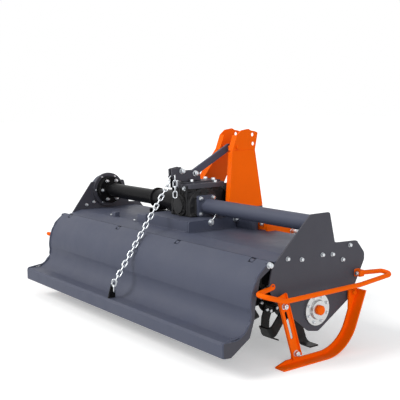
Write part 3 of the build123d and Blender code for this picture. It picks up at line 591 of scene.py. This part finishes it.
# %% Bolts of the side plates, tubes and bearing
plate_bolts = [(-202, 537), (-107, 522), (40, 527), (113, 521), (189, 484), (243, 554)]
plate_bolts = [(plate_x, y, z) for y, z in plate_bolts]
inner_face = 8 - plate_x
inner_bolts = [(inner_face, -146, 582), (inner_face, -88, 597)]
boss_face = disc_x + 32.0
ring_face = boss_face + 12.0
disc_circle, ring_circle = 104, 74
flange_x = node_box("support_tube")[0][0] + 18.0
flange_circle = 47 * 2 ** 0.5
bearing_face = node_box("bearing_housing")[0][0] + 11.0
bearing_circle = 68
zinc_parts = [
    both_sides(head, plate_bolts, 17),
    placed(nut, inner_bolts, to_right, 17),
    placed(head, circle_x(disc_x, *tube, disc_circle, 6), to_right, 10),
    placed(nut, circle_x(ring_face, *tube, ring_circle, 6), to_right, 18),
    placed(head, circle_x(flange_x, *tube, flange_circle, 4, 45), to_right, 20),
    placed(head, circle_x(bearing_face, 0, rotor_z, bearing_circle, 8, 22.5), to_right, 13),
]
print("bolts on plates, tubes and bearing", sum(len(part) for part in zinc_parts))

# %% [markdown]
# ## Fasteners of the gearbox, mast and hitch
# The bracket on top is bolted down through its base. The brace turns on pins
# with a nut at each end, and each lower hitch bracket has a bolt through its
# web. Round covers on the gearbox have their bolts on a circle.

# %% Bolts round the middle of the machine
base_bolts = [(x, y, base_top) for x in (-40, 40) for y in (-27, 139)]
pin_ends = [(19, 16, base_top + 47), (19, -83, base_top + 66)]
web_bolts = mirrored((430, 200, deck_z + 38))
cover_y = gear_low[1] - 8.3
cover_z = node_box("gearbox_rear_cover")[:, 2].mean()
cover_head = fastener(washer=1.2)
cover_bolts = placed(cover_head, circle_y(cover_y, cover_z, 54.5, 6, 30), to_back, 11)
shield_y = node_box("shaft_shield")[0][1] + 5.0
neck_y = node_box("input_neck")[1][1]
zinc_parts += [
    placed(head, base_bolts, to_top, 20),
    both_sides(nut, pin_ends, 26),
    placed(head, web_bolts, to_back, 18),
    placed(screw, circle_y(shield_y, tube_z, 86, 4, 45), to_front, 16),
    placed(screw, circle_y(neck_y, tube_z, 44, 6), to_front, 11),
]
print("bolts so far", sum(len(part) for part in zinc_parts))

# %% [markdown]
# ## Fasteners low down
# The skids hang on a bolt in front and on a slotted strap behind, which sets
# the working depth. The guard's front end sits in a lug, the mast's feet are
# bolted through, and the hinge rod carries a nut at each end.

# %% Bolts of skids, straps, hoops and hinge
strap_x = node_box("skid_strap_right")[1][0] - 9.0
skid_face = node_box("skid_right")[0][0] + 17.0
rod_x = node_box("hinge_rod")[1][0] - 11.0
rod_y, rod_z = node_box("hinge_rod").mean(0)[1:]
zinc_parts += [
    both_sides(nut, [(strap_x, -243, 309), (strap_x, -162, 55)], 24),
    placed(head, mirrored((plate_x + 19, 284, 400)), to_back, 17),
    both_sides(nut, (foot_x, 158, 601), 28),
    both_sides(nut, (foot_x, 205, 602), 15),
]
piece("frame_bolts", zinc_parts, zinc, "frame")
skid_bolts = both_sides(nut, (skid_face, 252.4, 303), 22)
piece("painted_bolts", skid_bolts, orange, "frame")
piece("hinge_nuts", both_sides(nut, (rod_x, rod_y, rod_z), 24), zinc, "frame")

# %% [markdown]
# ## The flap's chain
# Each link is a bent wire. Its middle line is a stadium: two straight runs
# joined by half circles, and the wire is a circle carried along it. On the
# line from the lug to the bracket each link is a quarter turn from the last,
# and a loose end hangs down at either place. The chain runs from the flap at
# one end to the frame at the other.

# %% Circle carried along a line
def carried(path, radius, up, columns=10):
    """Wire along a path: each ring is point + radius (cos v n + sin v b).

    n is at right angles to the path and to up, b to both. The path closes
    where its last point repeats its first; otherwise both ends get a cap.
    """
    path = np.array(path, float)
    closed = np.allclose(path[0], path[-1])
    ahead = np.gradient(path, axis=0)
    if closed:
        ahead[0] = ahead[-1] = path[1] - path[-2]
    tangent = unit(ahead)
    n = unit(np.cross(up, tangent))
    b = np.cross(tangent, n)
    v = np.arange(columns) * 2 * pi / columns
    ring = np.cos(v)[None, :, None] * n[:, None] + np.sin(v)[None, :, None] * b[:, None]
    grid = path[:, None] + np.broadcast_to(radius, len(path))[:, None, None] * ring
    if closed:
        return grid
    caps = [np.repeat(point[None, None], columns, 1) for point in (path[0], path[-1])]
    return np.concatenate([caps[0], grid, caps[1]])

# %% A link and its turns
def stadium(run, radius, count):
    """Closed line in the XY plane: straight along X, round, back, and round.

    The distance s goes evenly round; each half is a run and then a half circle.
    """
    s = np.linspace(0, 2, count + 1) * (run + pi * radius)
    part = s % (run + pi * radius)
    sign = np.where((s // (run + pi * radius)) % 2 < 0.5, 1.0, -1.0)
    turn = np.clip((part - run) / radius, 0, pi)
    x = -run / 2 + np.clip(part, 0, run) + radius * np.sin(turn)
    return np.stack([sign * x, sign * radius * np.cos(turn), 0 * x], 1)


twist_side = np.array([0.8, -0.6, 0.1])


def links(link, places, axes):
    """Links centred at places along their axes, each a quarter turn from the last.

    A hanging chain twists a little; every second link faces along twist_side.
    """
    places = np.array(places, float)
    along = unit(np.broadcast_to(np.array(axes, float), places.shape))
    across = unit(np.cross(twist_side, along))
    up = np.cross(along, across)
    even = (np.arange(len(places)) % 2 == 0)[:, None]
    flat = np.where(even, across, up)
    turned = np.stack([along, flat, np.cross(along, flat)], 1)
    return np.einsum("rck,nkj->nrcj", link, turned) + places[:, None, None, :]

# %% Lay the chain
wire, count = 4.2, 23
grip = 14.0
slack = 1.0
lug_low, lug_high = node_box("flap_chain_lug")
lug_hole = np.array([0.0, (lug_low[1] + lug_high[1]) / 2 + 12.0, lug_high[2] - 12.0])
chain_pin = np.array([0.0, -140.0, base_top + 32.0])
slope = unit(chain_pin - lug_hole)
first, last = lug_hole + slope * grip, chain_pin - slope * grip
pitch = np.linalg.norm(last - first) / (count - 1)
bend_radius = 7.5 + wire
link_path = stadium(pitch + 2 * wire - 2 * bend_radius + slack, bend_radius, 40)
link = carried(link_path, wire, to_top, 12)
places = first + (last - first) * np.linspace(0, 1, count)[:, None]
print("chain pitch", round(pitch, 1), "mm over", count, "links")

# %% Hang the loose ends and make the chain
steps = np.arange(4)[:, None]
down = np.array([0.0, 0.0, -1.0])
tail_end = np.array([28.0, -140.0, chain_pin[2] - 39.0 - 2 * pitch])
tail = tail_end - down * pitch * steps
end_axis = np.array([0.0, -0.05, -1.0])
end_tail = lug_hole + np.array([10.0, 2.0, 16.0]) + end_axis * pitch * steps[:2]
all_links = [links(link, places, slope), links(link, tail, down), links(link, end_tail, end_axis)]
chain = piece("flap_chain_links", all_links, zinc, None, sharp=60)
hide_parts("flap_chain")
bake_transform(chain)

# %% [markdown]
# ## Weld beads
# Where one plate meets another the real machine has a weld, laid by hand and
# painted over. A bead is a round wire half sunk in the corner, and it swells
# and sinks a little along its way, like a row of overlapping drops.

# %% Beads along corners
def travelled(path):
    """Distance along a line of points, from its first to each of them."""
    steps = np.linalg.norm(np.diff(path, axis=0), axis=1)
    return np.concatenate([[0.0], np.cumsum(steps)])


def spaced(corner_points, step=4.0):
    """Points every few millimetres along straight runs between corner points."""
    corner_points = np.array(corner_points, float)
    at = travelled(corner_points)
    s = np.linspace(0, at[-1], max(4, int(at[-1] / step)))
    return np.stack([np.interp(s, at, corner_points[:, k]) for k in range(3)], 1)


def bead(path, up, radius=3.4, columns=7, drop=11.0):
    """Bead along a path: radius x (1 + 0.16 cos of the distance, once per drop)."""
    distance = travelled(path)
    turns = max(1, round(distance[-1] / drop))
    swell = 1 + 0.16 * np.cos(2 * pi * turns * distance / distance[-1])
    return carried(path, radius * swell, up, columns)


def straight_bead(start, end, up, radius=3.4):
    """Bead along one straight corner."""
    return bead(spaced([start, end]), up, radius)


def ring_x(x, y, z, radius, count=72):
    """Closed circle about an axis along X."""
    return circle_x(x, y, z, radius, count)[np.append(np.arange(count), 0)]

# %% Weld the tubes, the saddle and the bracket
tube_end = node_box("support_tube")[1][0]
drive_end = node_box("drive_tube")[1][0] - 62
seam_z = deck_z + 1
slate_beads = [bead(ring_x(x, *tube, 45), to_right) for x in (flange_x, tube_end)]
slate_beads += [
    straight_bead((-205, y, seam_z), (205, y, seam_z), to_top)
    for y in (saddle_low[1], saddle_high[1])
]
black_beads = [bead(ring_x(x, *tube, 49.5), to_right) for x in (drive_end, ring_face)]
black_beads.append(bead(ring_x(disc_x, *tube, 94), to_right, 2.4))
black_beads += [
    straight_bead((x, -52, base_top), (x, 56, base_top), to_top)
    for x in (-19.5, -8.5, 8.5, 19.5)
]
print("beads on tubes, saddle and bracket", len(slate_beads) + len(black_beads))

# %% Weld the mast, the guards and the skids
bend_x, bend_z = 87.3, node_box("mast_leg_right")[1][2] - 130.6
foot_top = node_box("mast_foot_right")[1][2]
lug_path = [(284, 383), (316, 383), (316, 417), (284, 417), (284, 383)]
orange_beads = []
for side in (-1, 1):
    foot, outside = side * foot_x, side * (plate_x + 1)
    strap_lug = side * (skid_face - 8)
    mast_bend = (side * bend_x, 258, bend_z), (side * bend_x, 437, bend_z)
    slate_beads.append(straight_bead((foot, -180, seam_z), (foot, 255, seam_z), to_right))
    orange_beads += [
        straight_bead(*mast_bend, to_right, 2.2),
        straight_bead((foot, 116, foot_top), (foot, 372, foot_top), to_right),
        straight_bead((side * 384.5, 202, seam_z), (side * 384.5, 258, seam_z), to_right),
        straight_bead((side * 475.5, 202, seam_z), (side * 475.5, 258, seam_z), to_right),
        bead(ring_x(outside, -300, 410, 13, 36), to_right),
        bead(spaced([(outside, y, z) for y, z in lug_path]), to_right),
        straight_bead((strap_lug, -184, 8.5), (strap_lug, -140, 8.5), to_right),
    ]
piece("slate_welds", slate_beads, slate, "frame", sharp=60)
piece("black_welds", black_beads, black, "frame", sharp=60)
piece("orange_welds", orange_beads, orange, "frame", sharp=60)

# %% [markdown]
# ## The rotor's welds and tine bolts
# Each tine is held by two bolts through its flange. The tines stand every
# sixty degrees, and each flange is turned a little on from the last, so that
# one tine after another meets the soil. The same angles place the bolts.

# %% Bolt the tines on
flanges, per_flange = 10, 6
twist, start_angle = 23.0, -27.0
flange_reach = plate_x - 138
seat_out, seat_across = 77, 14.5
flange_places = np.linspace(-flange_reach, flange_reach, flanges)
which, index = np.meshgrid(np.arange(flanges), np.arange(per_flange), indexing="ij")
angle = np.radians(start_angle + index * 360 / per_flange + which * twist).ravel()
side = np.where(index.ravel() % 2 == 0, 1.0, -1.0)
x = flange_places[which.ravel()]


def on_flange(across, out, offset):
    """Point on each tine's seat: across its width, out from the axis, offset along X."""
    y = across * np.cos(angle) - out * np.sin(angle)
    z = across * np.sin(angle) + out * np.cos(angle)
    return np.stack([x + side * offset, y, rotor_z + z], 1)


facing = np.stack([side, 0 * side, 0 * side], 1)
tine_bolts = [
    placed(small_head, on_flange(across, seat_out, offset), facing * turn, 18)
    for across in (-seat_across, seat_across)
    for offset, turn in ((13.3, 1), (-5, -1))
]
piece("tine_bolts", tine_bolts, zinc, "rotor")
rotor_beads = [
    bead(ring_x(place + edge, 0, rotor_z, 45, 48), to_right, 3.6, 6)
    for place in flange_places
    for edge in (-5, 5)
]
piece("rotor_welds", rotor_beads, black, "rotor", sharp=60)

# %% [markdown]
# ## The splined input shaft
# The drive shaft's yoke slides on a stub with six splines. Its radius depends
# on the angle: the full radius on a tooth and a smaller one between teeth,
# with a steep flank. Near the end a groove takes the yoke's locking balls.

# %% Turn and spline the shaft
def splines(outer, inner, teeth=6, columns=96):
    """Radius over the angle: a cosine sharpened into flat teeth and valleys."""
    wave = np.cos(teeth * np.arange(columns) * 2 * pi / columns)
    return inner + (outer - inner) * (0.5 + 0.5 * np.clip(wave * 3.5, -1, 1))


shaft_low, shaft_high = node_box("input_shaft")
length = shaft_high[1] - shaft_low[1]
tooth, root = 17.4, 14.6
full, mid = splines(tooth, root), splines(tooth - 1.5, root)
chamfered = splines(root, 12.8)
shaft_rows = [
    (0, 0), (23.9, 0), (23.9, 38), (22.5, 39.5), (tooth, 39.5), (tooth, 62), (full, 66),
    (full, 92), (mid, 94), (15.2, 95), (15.2, 101), (mid, 102), (full, 104),
    (full, length - 4), (chamfered, length), (0, length),
]
shaft = placed(lathe(shaft_rows, 96), [(0, shaft_low[1], tube_z)], to_front)
stub = piece("splined_shaft", shaft, bright, "input_drive", sharp=30)
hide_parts("input_shaft")

# %% [markdown]
# ## The boss of the drive tube
# The tube that carries the drive shaft ends in a thick turned boss on the
# left plate, with a bolted ring in front of it. One lathe profile gives
# both: rows walk over the rim, down the face, over the ring and to the tube.
# At the gearbox the tube ends in a cone with a bolted collar, turned alike.

# %% Turn the boss
tube_radius = 49.2
boss_height, ring_height = boss_face - disc_x, ring_face - disc_x
boss_rows = [
    (tube_radius, 0), (94, 0), (94, boss_height - 2), (90, boss_height), (90, boss_height + 2),
    (94, boss_height + 4), (94, ring_height - 2.5), (91, ring_height), (tube_radius, ring_height),
    (tube_radius, 0),
]
boss = placed(lathe(boss_rows, 96), [(disc_x, *tube)], to_right)
piece("drive_boss", boss, black, "frame")

# %% Turn the neck at the gearbox
neck_x, neck_circle = -412.0, 59
neck_rows = [
    (tube_radius, 0), (66, 0), (66, 13), (64, 15), (57, 16), (57, 24), (66, 150), (74, 230),
    (80, 285), (80, 300), (tube_radius, 300), (tube_radius, 0),
]
neck = placed(lathe(neck_rows, 72), [(neck_x, *tube)], to_right)
neck_ring = placed(head, circle_x(neck_x, *tube, neck_circle, 8, 22.5), to_left, 9)
piece("drive_neck", [neck, neck_ring], black, "frame")

# %% [markdown]
# ## The drive case
# The chain case outside the left plate is closed by a pressed cover with a
# row of bolts round its rim. It has a filler plug above, a level plug in the
# middle and a drain plug at the bottom, all turned on the lathe.

# %% Bolts and plugs of the drive case
low_radius, high_radius = 92.0, 84.0
top_ring = circle_x(case_x, *tube, high_radius, 10)[:6]
low_angles = np.radians(np.linspace(185, 355, 6))
low_ring = np.stack([low_radius * np.cos(low_angles), rotor_z + low_radius * np.sin(low_angles)], 1)
rise = np.linspace(0.2, 0.8, 4)[:, None]
runs = [
    np.array([edge * low_radius, rotor_z]) * (1 - rise)
    + np.array([tube_y + edge * high_radius, tube_z]) * rise
    for edge in (1, -1)
]
rim = np.concatenate([low_ring, *runs])
rim = np.concatenate([top_ring, np.column_stack([np.full(len(rim), case_x), rim])])
flats = hexagon(24)
plug_rows = [(0, 0), (1.5, 0), (1.5, 0.25), (1.02 * flats, 0.28), (flats, 1.1), (0.85, 1.3), (0, 1.3)]
plug = lathe(plug_rows)
plug_places = [(case_x, 14, 640), (case_x, 8, 400), (case_x, 0, 176)]
case_parts = [placed(head, rim, to_left, 12), placed(plug, plug_places, to_left, [24, 16, 24])]
piece("drive_case_bolts", case_parts, zinc, "frame")
hub_rows = [(0, 0), (58, 0), (58, 3), (54, 6), (30, 7), (28, 10), (0, 10)]
case_hub = placed(lathe(hub_rows, 64), [(case_x, 0, rotor_z)], to_left)
piece("drive_case_hub", case_hub, slate, "frame")

# %% [markdown]
# ## The gearbox casting
# A cast housing has soft edges, ribs and bosses that flow into its walls. The
# frame's housing and some plain ribs and bosses are put together as one mesh
# and remeshed into small equal squares, and smoothing then rounds every inner
# and outer corner alike, as the sand mould does.

# %% Draw the ribs, feet and pads
def block(low, high):
    """Closed box between two corners, as a grid of two rings of four points."""
    low, high = np.array(low, float), np.array(high, float)
    corner = np.array([(0, 0), (1, 0), (1, 1), (0, 1)], float)
    ring = low[:2] + (high - low)[:2] * corner
    rings = [np.column_stack([ring, np.full(4, z)]) for z in (low[2], high[2])]
    poles = [np.repeat(ring_points.mean(0)[None], 4, 0) for ring_points in rings]
    return np.stack([poles[0], rings[0], rings[1], poles[1]])


foot_z, rib_top = gear_low[2], gear_high[2] - 8
foot_rows, foot_top_z = (-81, 150), foot_z + 16
# Each row: the ribs' middles along X, half their thickness, their range in Y and in Z.
rib_rows = [
    ((-72, 72), 5, (-92, -80), (foot_z + 6, rib_top)),
    ((-30, 0, 30), 4, (-90, -80), (752, rib_top)),
    ((-70, 70), 5, (190, 203), (foot_z + 6, rib_top)),
    ((-34, 0, 34), 4, (190, 202), (750, rib_top)),
    ((-76, 76), 10, (-78, 186), (770, 778)),
    *[((-92, 92), 6, (y - 4, y + 4), (770, 812)) for y in (-40, 25, 90, 155)],
    *[((-84, 84), 24, (y, y + 34), (foot_z, foot_top_z)) for y in foot_rows],
]
ribs = [
    block((middle - half, y[0], z[0]), (middle + half, y[1], z[1]))
    for middles, half, y, z in rib_rows
    for middle in middles
]
arch = circle_x(93, *tube, 88, 10)[:6]
pads = both_sides(lathe([(0, 0), (9, 0), (9, 8), (0, 8)], 24), arch)
print("ribs and feet", len(ribs), "pads", len(pads))

# %% Cast the housing
def cast(name, source, extras, voxel=0.0032, rounds=8):
    """Frame node and extra grids remeshed as one skin and smoothed."""
    whole = bmesh.new()
    for mesh in (source.data, grid_mesh(name + "_ribs", extras)):
        whole.from_mesh(mesh)
    rough = bpy.data.meshes.new(name + "_rough")
    whole.to_mesh(rough)
    whole.free()
    thing = bpy.data.objects.new(name + "_rough", rough)
    bpy.context.scene.collection.objects.link(thing)
    remesh = thing.modifiers.new("skin", "REMESH")
    remesh.mode = "VOXEL"
    remesh.voxel_size = voxel
    smooth = thing.modifiers.new("soft", "SMOOTH")
    smooth.factor = 0.5
    smooth.iterations = rounds
    state = bpy.context.evaluated_depsgraph_get()
    mesh = bpy.data.meshes.new_from_object(thing.evaluated_get(state))
    bpy.data.objects.remove(thing)
    return mesh


skin = cast("gearbox", frame["nodes"]["gearbox_housing"], [*ribs, pads])
casing = piece("gearbox_casting", skin, casting, "frame", sharp=180)
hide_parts("gearbox_housing")

# %% Plugs and small bolts of the gearbox
feet = mirrored([(100, y + 17, foot_top_z) for y in foot_rows])
small = [both_sides(head, arch + [8, 0, 0], 8), placed(head, feet, to_top, 12), cover_bolts]
piece("gearbox_bolts", small, casting, "frame")
breather_rows = [(0, 0), (11, 0), (11, 4), (6, 5), (6, 12), (10, 14), (10, 20), (7, 23), (0, 23)]
plugs = [
    placed(lathe(breather_rows), [(-82, 120, gear_high[2])], to_top),
    placed(plug, [(45, gear_low[1], 788), (-45, gear_low[1], 788)], to_back, [18, 14]),
    placed(plug, [(82, 120, gear_high[2])], to_top, 22),
]
piece("gearbox_plugs", plugs, zinc, "frame")

# %% [markdown]
# ## Pins of the saddle and the hitch
# A round pin with a cap locks the saddle, tied to the tube by a wire so that
# it isn't lost. Each lower hitch pin is held by a linch pin: a short cross
# pin with a sprung ring that folds over the end. Rings are closed wires.

# %% Caps, wires and linch pins
cap_rows = [(0, 0), (21, 0), (21, 3), (15, 3.5), (15, 12), (12, 15), (6, 15), (5, 10), (0, 10)]
caps = both_sides(lathe(cap_rows, 36), (foot_x, -28, 600))
pin_x = 512.0
pin_y, pin_z = node_box("hitch_pin_right").mean(0)[1:]
linch_rows = [(0, 0), (4, 0), (4, 44), (6, 45), (6, 50), (0, 50)]
linch = placed(lathe(linch_rows, 16), mirrored((pin_x, pin_y, pin_z - 26)), to_top)
turn = np.linspace(0, 2 * pi, 41)
tie = np.array([(8, -24, 612), (14, -12, 632), (12, 0, 645), (4, 4, 646)]) + [foot_x, 0, 0]
ring = np.stack([pin_x + 10 * np.cos(turn), pin_y + 21 * np.sin(turn), pin_z + 21 * np.cos(turn)], 1)
wires = [
    carried(path * [side, 1, 1], radius, to_right, 8)
    for side in (-1, 1)
    for path, radius in ((tie, 1.8), (ring, 2.2))
]
piece("pins_and_rings", [caps, linch, *wires], zinc, "frame")

# %% [markdown]
# ## Rims of the flap
# The flap's sheet is held in shape by an end plate on each side that stands
# a little proud of it and is stitched on with short welds. The rim follows
# the sheet's own edge, found as the rearmost point at each height.

# %% Follow the flap's edge
def flap_edge(x, step=12.0):
    """Rearmost points of the flap at its end, from the lip to the hinge."""
    sheet = frame["nodes"]["flap_panel"].data
    points = np.empty(3 * len(sheet.vertices))
    sheet.vertices.foreach_get("co", points)
    points = (points.reshape(-1, 3) - [0.0, rotor_y, 0.0]) * 1000
    points = points[np.abs(points[:, 0] - x) < 2]
    level = ((points[:, 2] - points[:, 2].min()) / step).astype(int)
    rear = np.full(level.max() + 1, np.inf)
    np.minimum.at(rear, level, points[:, 1])
    height = points[:, 2].min() + step * (np.arange(len(rear)) + 0.5)
    known = np.isfinite(rear)
    return np.column_stack([np.full(known.sum(), x), rear[known], height[known]])


flap_end, stitch_gap, stitch_points = 1075.0, 14, 5
rims, stitches = [], []
for side in (-1, 1):
    edge = spaced(flap_edge(side * flap_end), 6.0)
    edge[:, 1] = np.maximum(edge[:, 1], edge[:, 1].min() + 7.0)
    rims.append(carried(edge + [-side * 3.0, -1.5, 0], 5.2, to_right, 10))
    seam = edge + [-side * 11.0, -1.0, 0]
    starts = np.arange(8, len(edge) - 6, stitch_gap)
    stitches += [bead(seam[i:i + stitch_points], to_right, 4.0) for i in starts]
piece("flap_rims", rims, slate, "flap", sharp=60)
piece("flap_stitches", stitches, slate, "flap", sharp=60)

# %% [markdown]
# ## The dark strip behind the hood
# A black strip under the hood's rear edge, in front of the hinge, is painted
# shade: it darkens the gap there, where shade falls. Its cross section is drawn
# once and pulled out along the machine.

# %% Draw the dark strip out
def strip(outline, x_low, x_high):
    """Closed YZ outline drawn out along X, with a pole closing each end."""
    outline = np.array(outline, float)
    rings = [np.column_stack([np.full(len(outline), x), outline]) for x in (x_low, x_high)]
    poles = [np.repeat(ring.mean(0)[None], len(ring), 0) for ring in rings]
    return np.stack([poles[0], rings[0], rings[1], poles[1]])


hood_end, shade_strip_reach = node_box("hood")[0][1], 1058
shade_strip_outline = [
    (16, 529.2), (0, 525.3), (-16, 512), (-22, 500), (-19, 498.8), (-12.5, 510), (1, 521.5),
    (16, 525.2),
]
shade_strip_outline = np.array(shade_strip_outline) + [hood_end, 0]
# The black strip is painted shade in the gap under the hood's rear edge.
shade_strip = strip(shade_strip_outline, -shade_strip_reach, shade_strip_reach)
piece("hood_seal", shade_strip, black, "frame", sharp=60)

# %% [markdown]
# ## Small brackets on the deck
# The deck carries a folded stop, a small tab with a screw and a cross channel
# from each mast foot to the hitch bracket. They are bent sheet with rounded
# corners, which a rounded outline shows better than a box would.

# %% Fold the stops
def folded(low, high, radius=12.0, columns=40):
    """Box between two corners with rounded upright edges and a turned-down rim.

    The outline is a superellipse of power 8, |x|^8 + |y|^8 = 1, scaled by half the
    sides. Rows go from the middle of the base over the rim to the middle of the top.
    """
    low, high = np.array(low, float), np.array(high, float)
    half, middle = (high - low)[:2] / 2, (high + low)[:2] / 2
    v = np.arange(columns) * 2 * pi / columns
    flat = (np.abs(np.cos(v)) ** 8 + np.abs(np.sin(v)) ** 8) ** (-1 / 8)
    ring = half * np.stack([flat * np.cos(v), flat * np.sin(v)], 1)
    inset = radius / min(half)
    rows = [
        (0.0, low[2]), (1.0, low[2]), (1.0, high[2] - radius / 2),
        (1.0 - 0.12 * inset, high[2] - 1.5), (1.0 - 0.45 * inset, high[2]), (0.0, high[2]),
    ]
    return np.stack([np.column_stack([middle + r * ring, np.full(columns, z)]) for r, z in rows])


stops = [
    folded((-338, -187, deck_z), (-224, -100, deck_z + 52)),
    folded((-640, -190, deck_z), (-602, -150, deck_z + 30), 8),
]
stops += [folded((x - 83, 162, deck_z), (x + 83, 199, deck_z + 96), 8) for x in (-316, 316)]
piece("deck_stops", stops, slate, "frame")

# %% [markdown]
# ## Rest, hook plate, dark corner plates and lid
# A block and a foot carry the thick neck of the drive tube on the deck. The
# bracket has a plate that the chain hooks into. A black plate stands in each
# rear corner of the hood as painted shade, darkening the gap there. The gearbox
# is closed by a lid in the slate's painted shade. All are folded or cut plates,
# so the same function draws them. Two screws hold the small stops.

# %% Rest, dark corner plates, lid and screws
rest = [
    folded((-396, -50, deck_z), (-384, 100, tube_z - 62), 4),
    folded((-384, 10, deck_z), (-233, 40, tube_z - 72), 8),
    folded((6, -160, base_top - 30), (13, -130, base_top + 37), 2),
]
# The two black plates in the hood's rear corners are painted shade.
rest += [folded((x - 44, -284, 405), (x + 44, -279, 530), 2) for x in (-1021, 1021)]
piece("neck_rest_and_gussets", rest, black, "frame")
# The lid wears the slate's painted shade too.
lid_low = (-101, gear_low[1] - 2, gear_high[2] - 27)
lid_high = (101, gear_high[1] + 2, gear_high[2] + 1.5)
piece("gearbox_lid", folded(lid_low, lid_high, 6), shaded_slate, "frame")
stop_screws = placed(screw, [(-351, -192, deck_z + 7), (-654, -186, deck_z + 7)], to_top, 16)
piece("deck_screws", stop_screws, zinc, "frame")
